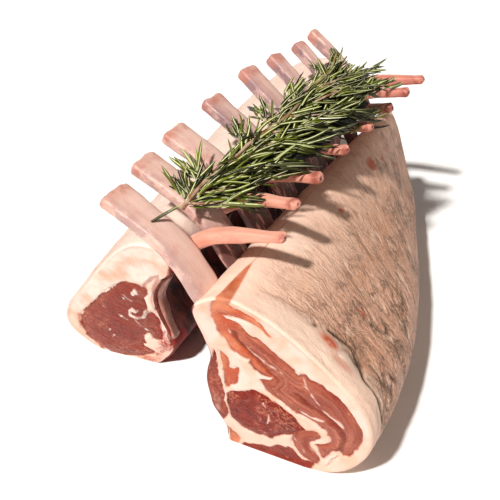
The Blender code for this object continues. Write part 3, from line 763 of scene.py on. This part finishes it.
# ---- rosemary ----
# Sprigs as the points that each stem runs through: across the valley, along it, and up.
SPRIGS = (
    ((-4, 26, 103), (-3, 39, 107), (2, 52, 110), (2, 69, 111), (5, 85, 112), (7, 101, 113), (6, 123, 114),
     (7, 140, 115), (3, 158, 116)),
    ((-3, 29, 104), (8, 35, 104), (15, 40, 104)),
    ((-3, 35, 105), (6, 42, 106), (12, 51, 107), (17, 59, 106)),
    ((1, 44, 108), (9, 52, 109), (15, 63, 109), (20, 71, 107)),
    ((4, 62, 110), (10, 74, 111), (18, 80, 110), (24, 86, 108)),
    ((5, 80, 112), (14, 88, 112), (20, 95, 111), (24, 102, 109)),
    ((8, 96, 113), (18, 103, 113), (25, 113, 111), (29, 120, 109)),
    ((13, 112, 114), (18, 122, 115), (25, 134, 114), (31, 147, 112)),
    ((10, 124, 115), (16, 139, 115), (22, 154, 113)),
    ((-3, 41, 106), (-10, 45, 106), (-14, 48, 106)),
    ((-3, 32, 105), (-8, 35, 105), (-11, 37, 105)),
    ((2, 70, 110), (-5, 78, 109), (-8, 81, 109)),
    ((5, 87, 111), (-2, 94, 110), (-6, 98, 110)),
    ((6, 102, 112), (1, 112, 112), (-2, 118, 112)),
    ((8, 135, 114), (4, 139, 114), (2, 141, 114)),
    ((-1, 35, 106), (5, 53, 109), (10, 71, 110), (16, 89, 111), (20, 116, 111), (24, 134, 112)),
    ((1, 41, 105), (7, 61, 107), (13, 85, 108), (17, 105, 109), (23, 125, 110), (27, 140, 112)),
    ((-6, 44, 105), (-3, 70, 106), (0, 95, 107), (2, 120, 109), (6, 148, 112)),
    ((18, 100, 105), (24, 116, 101), (26, 129, 98), (28, 140, 97)),
    ((4, 92, 111), (8, 113, 113), (12, 134, 114), (16, 150, 113)),
    ((5, 108, 112), (12, 121, 113), (18, 131, 114), (24, 140, 113)),
)


TOP = 112.0            # needles above this height are pressed down,
PRESS = 7.0            # by so much at most


def leafy(count, seed):
    """Where needles grow on the sprigs: each sprig takes a share that goes with its length, at random
    steps along it and on any side. A needle leans forward, up to 36 degrees from the stem, less towards
    its tip, where the needles are shorter."""
    random = np.random.default_rng(seed)
    lengths = np.array([run_of(curve(sprig, np.linspace(0, len(sprig) - 1, 40)))[-1] + 9.0
                        for sprig in SPRIGS])
    shares = np.round(count * lengths / lengths.sum()).astype(int)
    parts = []
    for sprig, share in zip(SPRIGS, shares):
        run = 1.0 - (1.0 - np.sort(random.uniform(0.0, 1.0, share))) ** 1.12
        at = (0.04 + 0.96 * run) * (len(sprig) - 1.0)
        spot = curve(sprig, at)
        ahead = unit(curve(sprig, np.minimum(at + 0.06, len(sprig) - 1.0)) - curve(sprig, at - 0.06))
        side, rise = across_of(ahead)
        turn = random.uniform(0.0, 2 * np.pi, share)[:, None]
        lean = (np.radians(random.uniform(2.0, 36.0, share)) * (1.0 - 0.45 * run ** 6))[:, None]
        out = np.cos(turn) * side + (np.sin(turn) * 0.6 + 0.10) * rise
        head = ahead * np.cos(lean) + out * np.sin(lean) + random.normal(0.0, 0.13, (share, 3))
        head[:, 0] += 0.45 * noise(spot, 13.0, 66)
        size = random.uniform(9.5, 18.0, share) * (1.0 - 0.35 * run ** 8)
        spot = spot + random.normal(0.0, 1.0, (share, 3)) * (2.0, 2.0, 0.9)
        parts.append((spot, head, out, size))
    return [np.concatenate(column) for column in zip(*parts)] + [random]


def needles(name, count, seed, rings=7):
    """Rosemary needles: each is a narrow blade carried along a bent line, a third as thick as it is wide,
    with a groove along its middle and edges that turn under, drawn to a point at the end. What stands
    above the top height is pressed down, so that nothing lies as much as PRESS over it. One long needle
    lies out by itself at the foot."""
    *grown, random = leafy(count, seed)
    long = [[-5.0, 27.0, 104.0]], [[-0.63, -0.62, -0.35]], [[0.0, 0.0, 1.0]], [19.0]
    roots, heads, outs, length = (np.concatenate(pair) for pair in zip(grown, long))
    heads = unit(heads)
    count = len(roots)
    width = random.uniform(1.25, 1.85, count)
    bend = random.normal(0.0, 0.10, (count, 3)) - outs * 0.12 + (0.0, 0.0, -0.03)
    t = np.linspace(0.0, 1.0, rings)[None, :, None]
    line = roots[:, None] + (heads[:, None] * t + bend[:, None] * t ** 2) * length[:, None, None]
    ahead = unit(heads[:, None] + 2 * bend[:, None] * t)
    facing = random.normal(0.0, 0.50, (count, 3)) + (0.0, 0.0, 1.0)
    side = unit(np.cross(ahead, facing[:, None]))
    face = np.cross(side, ahead)
    t = t[..., 0]
    wide = width[:, None] * np.minimum(1.0, 3.5 * t + 0.35) * np.sqrt(np.clip(1.0 - t ** 4, 0.02, 1.0)) / 2
    profile = np.array([(-1.0, -0.25), (-0.5, 0.42), (0.0, 0.12), (0.5, 0.42), (1.0, -0.25), (0.0, -0.50)])
    over, up = (wide[..., None, None] * profile[:, k, None] for k in (0, 1))
    grid = line[:, :, None] + side[:, :, None] * over + face[:, :, None] * up
    high = np.maximum(grid[..., 2] - TOP, 0.0)
    grid[..., 2] -= high - PRESS * (1.0 - np.exp(-high / PRESS))
    sides = len(profile)
    full = np.ones((count, rings, sides))
    # ridge marks the groove and the underside for a painted highlight; under marks the underside, and above
    # the height over the root, both for painted shade.
    marks = dict(tone=random.uniform(0.0, 1.0, count)[:, None, None] * full,
                 ridge=(0.0, 0.0, 1.0, 0.0, 0.0, 0.6) * full, under=(profile[:, 1] < -0.3) * full,
                 run=t[..., None] * full, above=ramp(-3.0, 1.2, grid[..., 2] - roots[:, 2, None, None]))
    quads, fans = rod_faces(count, rings, sides)
    return put_mesh(name, grid.reshape(-1, 3), quads, (fans,), {k: v.ravel() for k, v in marks.items()})


def stems(name, rings=36, sides=8):
    """The stems: round rods carried along their curves, thinner towards the tip, knobbly where needles
    grow."""
    run = np.linspace(0.0, 1.0, rings)
    spin = (np.arange(sides) * 2 * np.pi / sides)[:, None]
    points = []
    for number, sprig in enumerate(SPRIGS):
        line = curve(sprig, run * (len(sprig) - 1.0))
        side, rise = across_of(unit(np.gradient(line, axis=0)))
        half = (1.0 if len(sprig) > 6 else 0.55) - 0.35 * run + 0.14 * np.sin(90.0 * run + number)
        ring = side[:, None] * np.cos(spin) + rise[:, None] * np.sin(spin)
        points.append((line[:, None] + half[:, None, None] * ring).reshape(-1, 3))
    quads, fans = rod_faces(len(SPRIGS), rings, sides)
    return put_mesh(name, np.concatenate(points), quads, (fans,),
                    dict(run=np.tile(np.repeat(run, sides), len(SPRIGS))))


# The path of a near-black core inside the bundle, which stands for shade between the needles.
SHADE_CORE_PATH = ((0, 32, 102), (5, 50, 103), (10, 70, 104), (14, 90, 105), (17, 110, 106), (18, 128, 107),
         (18, 142, 108))


def shade_core_mesh(name, rings=60, sides=28):
    """A near-black core set inside the bundle as painted shade between the needles: a flattened oval
    carried along the bundle, narrower than the needles spread, closed at both ends like a quarter circle
    and rough with the butts of needles."""
    t = np.linspace(0.0, 1.0, rings)
    line = curve(SHADE_CORE_PATH, t * (len(SHADE_CORE_PATH) - 1))[:, None]
    close = np.sqrt(np.clip(1.0 - (2 * t - 1) ** 6, 0.003, 1.0))[:, None]
    spin = np.arange(sides) * 2 * np.pi / sides
    half = (6.0 + 6.5 * t + 1.5 * np.sin(np.pi * t))[:, None] * close
    radial = np.stack([half * np.cos(spin), np.zeros((rings, sides)), 3.2 * close * np.sin(spin)], axis=-1)
    return closed_grid(name, line + radial * (1.0 + 0.25 * rough(line + radial, 4.0, 61, 3))[..., None], {})


# ---- finishes ----

def hide_finish(looks, name, cream):
    """Lamb fat: waxy cream along the frenched edge, beige and tan on the flank, with fine creases that
    run along the loin, a bubbly grain and painted shade in its folds, and flesh under membrane on the
    inner wall, kept dark there as painted shade of the valley between the racks."""
    made = Finish(name, IOR=1.45)
    broad = made.grain(28.0, 4.0)
    mid = made.grain(120.0, 5.0, roughness=0.6)
    patches = made.grain(75.0, 4.0, roughness=0.6).between(0.42, 0.58)
    fine = made.flow("lay", (1000, 700, 900), -1.4, 3.0, 0.7)
    creases = made.flow("lay", (330, 85, 60), -1.42, 4.0, 0.62)
    wide = made.flow("lay", (150, 50, 60), -1.36, 4.0, 0.6)
    strands = made.flow("lay", (320, 60, 60), 1.2)
    brown, folds, stain = made.mark("brown"), made.mark("folds"), made.mark("stain")
    low = 1 - made.height().between(0.015, 0.070)
    tan = brown * 1.05 + (mid - 0.5) * 0.8 * brown + (wide - 0.5) * 1.5 * brown
    line = 1.0 - abs(creases - 0.5).between(0.0, 0.07)
    sinew = made.paint(looks.sinew, (mid.between(0.3, 0.7), looks.warm_pale))
    # The inner wall: dark meat with membrane streaks, kept near black as painted shade of the valley between
    # the racks; red meat shows through near either cut.
    wall = made.paint(looks.dark_meat, (strands.between(0.35, 0.65), looks.membrane),
                      (brown * strands.between(0.20, 0.50), looks.meat), (stain, looks.blood))
    base = made.paint(
        cream,
        (tan.between(-0.10, 0.55), looks.beige),
        (tan.between(0.40, 1.05), looks.tan),
        ((broad - 0.40) * 1.5, looks.blush),
        (low * (0.15 + 0.40 * mid), looks.blush),
        (line * patches * (0.02 + 0.95 * brown), looks.grey_brown),
        (wide.between(0.55, 0.66) * (0.02 + 0.60 * brown), looks.grey_brown),
        (creases.between(0.56, 0.68) * (0.10 + 0.65 * brown), cream),
        # Painted shade: dark brown in the depth of the hide's modelled folds.
        (folds.between(0.10, 1.2) * (0.50 + 0.9 * mid), looks.fold),
        (fine.between(0.50, 0.72) * (0.04 + 0.55 * brown), looks.grey_brown),
        ((1 - fine.between(0.28, 0.46)) * (0.40 * brown), cream),
        (stain * mid.between(0.20, 0.50), looks.stain),
        (made.mark("sinew") * (0.80 + 0.4 * wide), sinew),
        # The inner wall's colours, darkened as painted shade.
        (made.mark("inner"), wall))
    height = (creases * (0.05 + 1.9 * brown) + wide * (0.2 + 1.8 * brown) + mid * 0.5
              + fine * (0.10 + 1.2 * brown))
    return made.wear(Base_Color=base, Roughness=0.38 + 0.30 * fine + 0.15 * made.mark("inner"),
                     Normal=made.bump(height, 0.0013, 0.8))


def face_finish(looks, name, layered, seam_fat):
    """A cut face: creamy fat, pinker low down, red muscle with fibres that follow its outline and thin
    marbling, a dark eye, pale seams, and painted shade in the creases between the muscles and in the
    grooves between the layers of the muscle."""
    made = Finish(name, IOR=1.34)
    if layered:
        fibres = made.flow("layer", (800, 110, 110), 0.0, 5.0, 0.65)
    else:
        fibres = made.strands(made.spot(), (260, 200, 900), (0.0, 0.2, 0.0), 5.0, 0.65)
    blotch = made.grain(95.0, 4.0)
    fine = made.grain(1000.0, 3.0, roughness=0.6)
    bubbles = made.grain(260.0, 4.0, roughness=0.65)
    patches = made.grain(240.0, 4.0, roughness=0.6)
    layers = made.flow("layer", (900, 60, 60), 0.0, 4.0, 0.6)
    veins = made.flow("layer", (150, 150, 150), 0.0, 6.0, 0.72)
    meat, warm, dark = made.mark("meat"), made.mark("warm"), made.mark("dark")
    seam, crease, blood = made.mark("seam"), made.mark("crease"), made.mark("blood")
    low = 1 - made.height().between(0.008, 0.042)
    fat = made.paint(seam_fat, (blotch.between(0.38, 0.72), looks.seam_fat_deep),
                     (bubbles.between(0.58, 0.70) * 0.35, looks.blush),
                     (low * (0.25 + 0.65 * blotch), looks.blush))
    deep = made.paint(looks.eye, (fibres.between(0.32, 0.66), looks.eye_pale),
                      (patches.between(0.48, 0.72) * 0.65, looks.eye_deep))
    orange = made.paint(looks.warm_meat, (blotch.between(0.35, 0.7), looks.warm_pale),
                        ((1 - layers.between(0.3, 0.45)) * 0.30, looks.meat))
    thin = 1.0 - abs(veins - 0.5).between(0.004, 0.030)
    flesh = made.paint(
        looks.meat,
        (layers.between(0.30, 0.70), looks.meat_pale),
        (layers.between(0.62, 0.74) * 0.5, looks.marbling),
        # Painted shade in the grooves between the muscle's layers.
        ((1 - layers.between(0.28, 0.40)) * 0.30, looks.crease),
        (dark, deep),
        (warm, orange),
        (thin * made.grain(70.0).between(0.45, 0.62) * (0.35 + 0.35 * dark), looks.marbling),
        (made.grain(420.0, 3.0).between(0.66, 0.76) * 0.5, looks.marbling),
        # Painted shade in the creases between the muscles.
        (crease * 0.70, looks.crease))
    base = made.paint(fat, (meat, flesh), (blood * fine.between(0.30, 0.55), looks.blood),
                      (seam * (0.60 + 0.45 * blotch), seam_fat))
    height = (layers * 0.8 + fibres * 0.4) * meat + fine * 0.25 + blotch * 0.35
    return made.wear(Base_Color=base, Roughness=0.48 - 0.20 * meat + 0.30 * (fine - 0.5),
                     Normal=made.bump(height, 0.0009, 0.7))


def bone_finish(looks, name, shade, ridged):
    """A scraped rib in six colours (bone, streaks, patches, last stretch, rim and grey cast): streaks
    along it, purple streaks and painted shade in purple patches on its near edge, shreds of membrane,
    and a redder end round the sunken marrow. Where it runs down the inner wall it carries painted shade:
    dark brown with pink streaks."""
    bone, pale, patch, tip_shade, rim, cast = shade
    made = Finish(name, IOR=1.45)
    wall, over, tip, end, grey = (made.mark(mark) for mark in ("wall", "over", "tip", "end", "grey"))
    streak = made.flow("lay", (110, 420, 600), 0.0, 5.0, 0.6)
    stains = made.flow("lay", (90, 200, 200), 0.0, 4.0, 0.7)
    blotch = made.grain(150.0, 4.0, roughness=0.6)
    shreds = made.grain(60.0, 5.0, roughness=0.7)
    fine = made.grain(700.0, 3.0)
    # The near edge of a right rib: the purple patches there are painted shade; the purple streaks further
    # down are the bone's own colour.
    ridge = (1 - over.between(-0.98, -0.40)) * (0.55 * grey + 0.38) * ridged
    # Painted shade: dark brown with pink streaks for the ribs down the inner wall.
    sunk = made.paint(looks.wall_bone, (streak.between(0.52, 0.66), looks.bone_pink))
    base = made.paint(
        bone,
        (streak.between(0.2, 0.8) * 0.7, pale),
        (blotch.between(0.46, 0.72) * 0.55, patch),
        (grey * (0.35 + 0.75 * blotch), cast),
        (ridge * stains.between(0.42, 0.56), looks.bone_shade),
        (over.between(-0.4, 0.3) * (1 - over.between(0.6, 0.98)) * 0.5, pale),
        (streak.between(0.60, 0.72) * (0.12 + 0.35 * grey), looks.bone_shade),
        (shreds.between(0.56, 0.66) * 0.40, looks.bone_tip),
        # Painted shade down the inner wall.
        (wall * 0.9, sunk),
        (tip * (0.15 + 0.45 * blotch), tip_shade),
        (tip * blotch.between(0.44, 0.60) * (0.75 - 0.40 * ridged), rim),
        (end.between(0.05, 0.25) * blotch.between(0.25, 0.6), rim),
        (end.between(0.35, 0.75) * (0.2 + 0.9 * blotch), looks.marrow))
    return made.wear(Base_Color=base, Roughness=0.36 + 0.35 * (blotch - 0.5) + 0.12 * streak,
                     Normal=made.bump(streak * 0.8 + blotch * 0.4 + fine * 0.2, 0.0006, 0.6))


def needle_finish(looks):
    """Rosemary needles: dark green, some yellower, a few with the pale grey-green of their felted back;
    a painted highlight along the groove, painted shade on the underside, and painted shade where they
    dip below their root."""
    made = Finish("Rosemary needles", IOR=1.28, Coat_Weight=0.35, Coat_Roughness=0.22)
    tone, ridge, under, run = (made.mark(mark) for mark in ("tone", "ridge", "under", "run"))
    base = made.paint(
        looks.needle,
        (tone.between(0.05, 0.95), looks.needle_light),
        # Painted highlight along the groove.
        (ridge.between(0.30, 0.85) * tone.between(-0.4, 0.35), looks.needle_rib),
        # The pale foot of each needle.
        ((1 - run.between(0.0, 0.18)) * 0.75, looks.needle_rib),
        (tone.between(0.90, 0.95) * 0.6, looks.needle_under),
        # Painted shade on the underside.
        (under * 0.6, looks.needle),
        (made.grain(900.0).between(0.3, 0.8) * 0.25, looks.needle),
        # Painted shade where a needle dips below its root.
        ((1 - made.mark("above")) * 0.85, looks.heart))
    return made.wear(Base_Color=base, Roughness=0.34 + 0.2 * tone)


def shade_core_finish(looks):
    """Painted shade on the core of the bundle: deep green and brown, near black, between the needles."""
    # The core's material: painted shade.
    made = Finish("Rosemary heart", IOR=1.4)
    grain = made.grain(500.0, 4.0)
    base = made.paint(looks.heart, (grain.between(0.35, 0.7), looks.needle))
    return made.wear(Base_Color=base, Roughness=0.6 + 0.3 * grain, Normal=made.bump(grain, 0.0015))


def stem_finish(looks):
    """Rosemary stems: brown bark at the foot, greener towards the tip."""
    made = Finish("Rosemary stems", IOR=1.45)
    streak = made.strands(made.spot(), (500, 120, 500))
    base = made.paint(looks.stem, (streak.between(0.3, 0.7), looks.stem_light),
                      (made.mark("run").between(0.3, 1.0) * 0.5, looks.needle_light))
    return made.wear(Base_Color=base, Roughness=0.5 + 0.2 * streak, Normal=made.bump(streak, 0.0004, 0.7))


# ---- what a user can change ----

# Each colour's default, and what it is for.
LOOKS = dict(
    cream=("F8DBC7", "The fat along the frenched edge"),
    beige=("EABFA5", "The fat between the cream and the tan"),
    tan=("D49B7A", "The browner fat of the flank"),
    blush=("E9B8A0", "The pink cast of the fat"),
    grey_brown=("755644", "Streaks in the tan fat"),
    # fold: painted shade for the depth of the hide's folds.
    fold=("5E4634", "The depth of the hide's folds"),
    stain=("C2542C", "Small red and orange stains on the fat"),
    sinew=("B05937", "The orange strip on the shoulder edge"),
    # membrane and dark_meat: the inner wall's colours, both kept dark as painted shade of the valley.
    membrane=("6E2A20", "The skin over the inner wall"),
    dark_meat=("2A0604", "The meat of the inner wall"),
    white_fat=("F3DDD0", "The whiter fat of the left rack"),
    seam_fat=("F0CEC0", "The fat between the muscles"),
    seam_fat_deep=("EBB398", "Patches in the seam fat"),
    meat=("8A3829", "The cap muscle"),
    meat_pale=("AD6049", "The layers of the cap muscle"),
    eye=("6A1306", "The eye muscle"),
    eye_pale=("892612", "The fibres of the eye muscle"),
    eye_deep=("500A04", "The darkest meat of the eye muscle"),
    warm_meat=("C05634", "The dried orange meat near the surface"),
    warm_pale=("D98762", "Patches in the orange meat"),
    marbling=("D38569", "Thin lines of fat in the meat"),
    # crease: painted shade in the creases between muscles and in the grooves between layers.
    crease=("6E2416", "The dark lines between muscles"),
    blood=("9E1C18", "Wet red patches"),
    bone=("E2B6A6", "The scraped bones of the right rack"),
    bone_pale=("F0CDBF", "Streaks in that bone"),
    bone_pink=("D89A8C", "Shreds of membrane on that bone"),
    # bone_shade: purple streaks on the bones, and painted shade in patches along their near edge.
    bone_shade=("83636A", "The purple ridge of the bones"),
    bone_grey=("B08A88", "The purple-grey cast of the further bones"),
    # wall_bone: painted shade on the ribs down the inner wall.
    wall_bone=("4E221C", "The ribs where they run down the inner wall"),
    bone_tip=("CF8A78", "The last stretch of the bones"),
    red_bone=("E89A84", "The bones of the left rack"),
    red_bone_pale=("F6BCA4", "Streaks in the bones of the left rack"),
    red_bone_deep=("D88A78", "Patches in the bones of the left rack"),
    raw_bone=("BC6458", "The redder cast of the further bones of the left rack"),
    red_rim=("7E2A20", "The rim of a sawn end on the left rack"),
    rim=("B05A40", "The rim of a sawn end"),
    marrow=("7A2C1C", "The marrow in a sawn end"),
    needle=("101700", "The dark needles"),
    needle_light=("727E10", "The lighter needles"),
    # needle_rib: painted highlight along a needle's groove, and the pale foot of each needle.
    needle_rib=("FFFFC8", "The groove of a needle"),
    needle_under=("C8CE90", "The felted back of a needle"),
    # heart: painted shade between the needles, on the core and on needles below their root.
    heart=("050300", "The dark between the needles"),
    stem=("7E4A24", "Stem bark"),
    stem_light=("D0B49A", "Streaks in the bark"),
)


def tint(name, code, description):
    """A colour that a user may change, labelled with its own name."""
    return FloatVectorProperty(name=name.replace("_", " ").capitalize(), description=description,
                               subtype="COLOR", size=4, min=0.0, max=1.0, default=colour(code))


class LambLooks(bpy.types.PropertyGroup):
    """The colours of the fat, meat, bones and herb."""
    __annotations__ = {name: tint(name, code, what) for name, (code, what) in LOOKS.items()}


class LambSizes(bpy.types.PropertyGroup):
    """How finely the pieces are built."""
    detail: FloatProperty(name="Detail", description="How fine the surfaces are", default=1.0,
                          min=0.2, max=1.2)
    needles: IntProperty(name="Needles", description="How many rosemary needles", default=940,
                         min=100, max=2500)


class LAMB_OT_racks(bpy.types.Operator):
    """Build the fat caps and the cut faces of both racks"""
    bl_idname = "lamb.racks"
    bl_label = "Racks"

    def execute(self, context):
        looks, sizes = context.scene.lamb_looks, context.scene.lamb_sizes
        muscles = ("eye", "cap", "cap_branch", "small_muscle", "marbled_muscle")
        for rack, fat in ((RIGHT, looks.cream), (LEFT, looks.white_fat)):
            name = rack["name"]
            body = hide(rack, sizes.detail)
            faces = grid_faces(*body["grid"].shape[:2], body["flip"] < 0)
            cap = put_mesh(name + "_fat_cap", body["grid"].reshape(-1, 3), faces, (), hide_marks(body))
            dress(cap, hide_finish(looks, name.title() + " fat cap", fat), "fat",
                  name + "_fat", name + "_rib_meat")
            for end, cut, title, nodes in ((0, shoulder_cut, "shoulder", muscles),
                                           (1, loin_cut, "loin", ("chine_meat",))):
                in_front = (rack is RIGHT) == (end == 0)
                rows = int((FRONT_ROWS if in_front else BACK_ROWS) * sizes.detail)
                face = cut_face(body, end, rows, "%s_%s_cut" % (name, title), cut)
                seam_fat = looks.white_fat if rack is LEFT and end == 1 else looks.seam_fat
                skin = face_finish(looks, "%s %s cut" % (name, title), end == 1, seam_fat)
                dress(face, skin, "meat", *["%s_%s" % (name, node) for node in nodes])
        return {"FINISHED"}


class LAMB_OT_bones(bpy.types.Operator):
    """Build the sixteen rib bones"""
    bl_idname = "lamb.bones"
    bl_label = "Rib bones"

    def execute(self, context):
        looks = context.scene.lamb_looks
        right = (looks.bone, looks.bone_pale, looks.bone_pink, looks.bone_tip, looks.rim, looks.bone_grey)
        left = (looks.red_bone, looks.red_bone_pale, looks.red_bone_deep, looks.red_bone_deep,
                looks.red_rim, looks.raw_bone)
        for rack, shade, ridged in ((RIGHT, right, 1.0), (LEFT, left, 0.1)):
            skin = bone_finish(looks, rack["name"].title() + " rib bones", shade, ridged)
            for index in range(len(rack["rib_y"])):
                dress(rib(rack, index), skin, "bone", "%s_rib_%d" % (rack["name"], index + 1))
        return {"FINISHED"}


class LAMB_OT_rosemary(bpy.types.Operator):
    """Build the bundle of rosemary"""
    bl_idname = "lamb.rosemary"
    bl_label = "Rosemary"

    def execute(self, context):
        looks, sizes = context.scene.lamb_looks, context.scene.lamb_sizes
        dress(needles("rosemary_needles", sizes.needles, 7), needle_finish(looks), "herb", "rosemary")
        dress(stems("rosemary_stems"), stem_finish(looks), "herb")
        dress(shade_core_mesh("rosemary_shade_core"), shade_core_finish(looks), "herb")
        return {"FINISHED"}


def stand(name, data, spot, facing, axis="Z"):
    """A light or a camera at a place, with one of its axes along a direction."""
    thing = bpy.data.objects.new(name, data)
    thing.location = spot
    thing.rotation_euler = Vector(facing).to_track_quat(axis, "Y").to_euler()
    bpy.context.scene.collection.objects.link(thing)
    return thing


def light(name, kind, spot, facing, **settings):
    """A lamp of a kind with its settings."""
    lamp = bpy.data.lights.new(name, kind)
    for key, value in settings.items():
        setattr(lamp, key, value)
    stand(name, lamp, spot, facing)


class LAMB_OT_stage(bpy.types.Operator):
    """Set the floor, the lights and the camera"""
    bl_idname = "lamb.stage"
    bl_label = "Stage"

    def execute(self, context):
        scene = context.scene
        mesh = bpy.data.meshes.new("floor")
        mesh.from_pydata([(-4, -4, 0), (4, -4, 0), (4, 4, 0), (-4, 4, 0)], [], [(0, 1, 2, 3)])
        floor = bpy.data.objects.new("floor", mesh)
        scene.collection.objects.link(floor)
        pale = Finish("Pale floor", Roughness=0.9)
        mesh.materials.append(pale.wear(
            Base_Color=pale.paint(colour("FAFAFA"), (pale.grain(3.0), colour("FDFDFD")))))
        light("key", "SUN", (0, 0, 0), (-0.12, -0.58, 0.80), energy=4.25, angle=np.radians(4.0),
              color=(1.0, 0.97, 0.93))
        aside = (1.1, 0.15, 0.9)
        light("fill", "AREA", aside, aside, size=1.4, energy=2.6, color=(1.0, 0.88, 0.78))
        world = bpy.data.worlds.new("studio")
        world.use_nodes = True
        sky = world.node_tree.nodes["Background"]
        sky.inputs["Color"].default_value = (1.0, 0.90, 0.80, 1.0)
        sky.inputs["Strength"].default_value = 0.12
        scene.world = world
        scene.view_settings.view_transform = "Standard"
        down, round_by, away = np.radians(38.0), np.radians(28.4), 0.425
        ahead = Vector((-np.sin(round_by) * np.cos(down), np.cos(round_by) * np.cos(down), -np.sin(down)))
        lens = bpy.data.cameras.new("camera")
        lens.lens = 61.2
        lens.sensor_width = 36.0
        target = Vector((-0.01313, -0.02286, 0.0343))
        scene.camera = stand("camera", lens, target - ahead * away, ahead, "-Z")
        return {"FINISHED"}


class LAMB_PT_panel(bpy.types.Panel):
    """Everything about the guard of honour"""
    bl_label = "Guard of honour"
    bl_space_type = "VIEW_3D"
    bl_region_type = "UI"
    bl_category = "Lamb"

    def draw(self, context):
        for operator in OPERATORS:
            self.layout.operator(operator.bl_idname)
        for group in (context.scene.lamb_sizes, context.scene.lamb_looks):
            for name in group.__annotations__:
                self.layout.prop(group, name)


OPERATORS = (LAMB_OT_racks, LAMB_OT_bones, LAMB_OT_rosemary, LAMB_OT_stage)
CLASSES = (LambLooks, LambSizes) + OPERATORS + (LAMB_PT_panel,)


def register():
    for kind in CLASSES:
        bpy.utils.register_class(kind)
    bpy.types.Scene.lamb_looks = PointerProperty(type=LambLooks)
    bpy.types.Scene.lamb_sizes = PointerProperty(type=LambSizes)


def unregister():
    del bpy.types.Scene.lamb_looks
    del bpy.types.Scene.lamb_sizes
    for kind in reversed(CLASSES):
        bpy.utils.unregister_class(kind)


def main():
    register()
    bpy.ops.lamb.racks()
    bpy.ops.lamb.bones()
    bpy.ops.lamb.rosemary()
    bpy.ops.lamb.stage()
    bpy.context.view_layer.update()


if __name__ == "__main__":
    main()
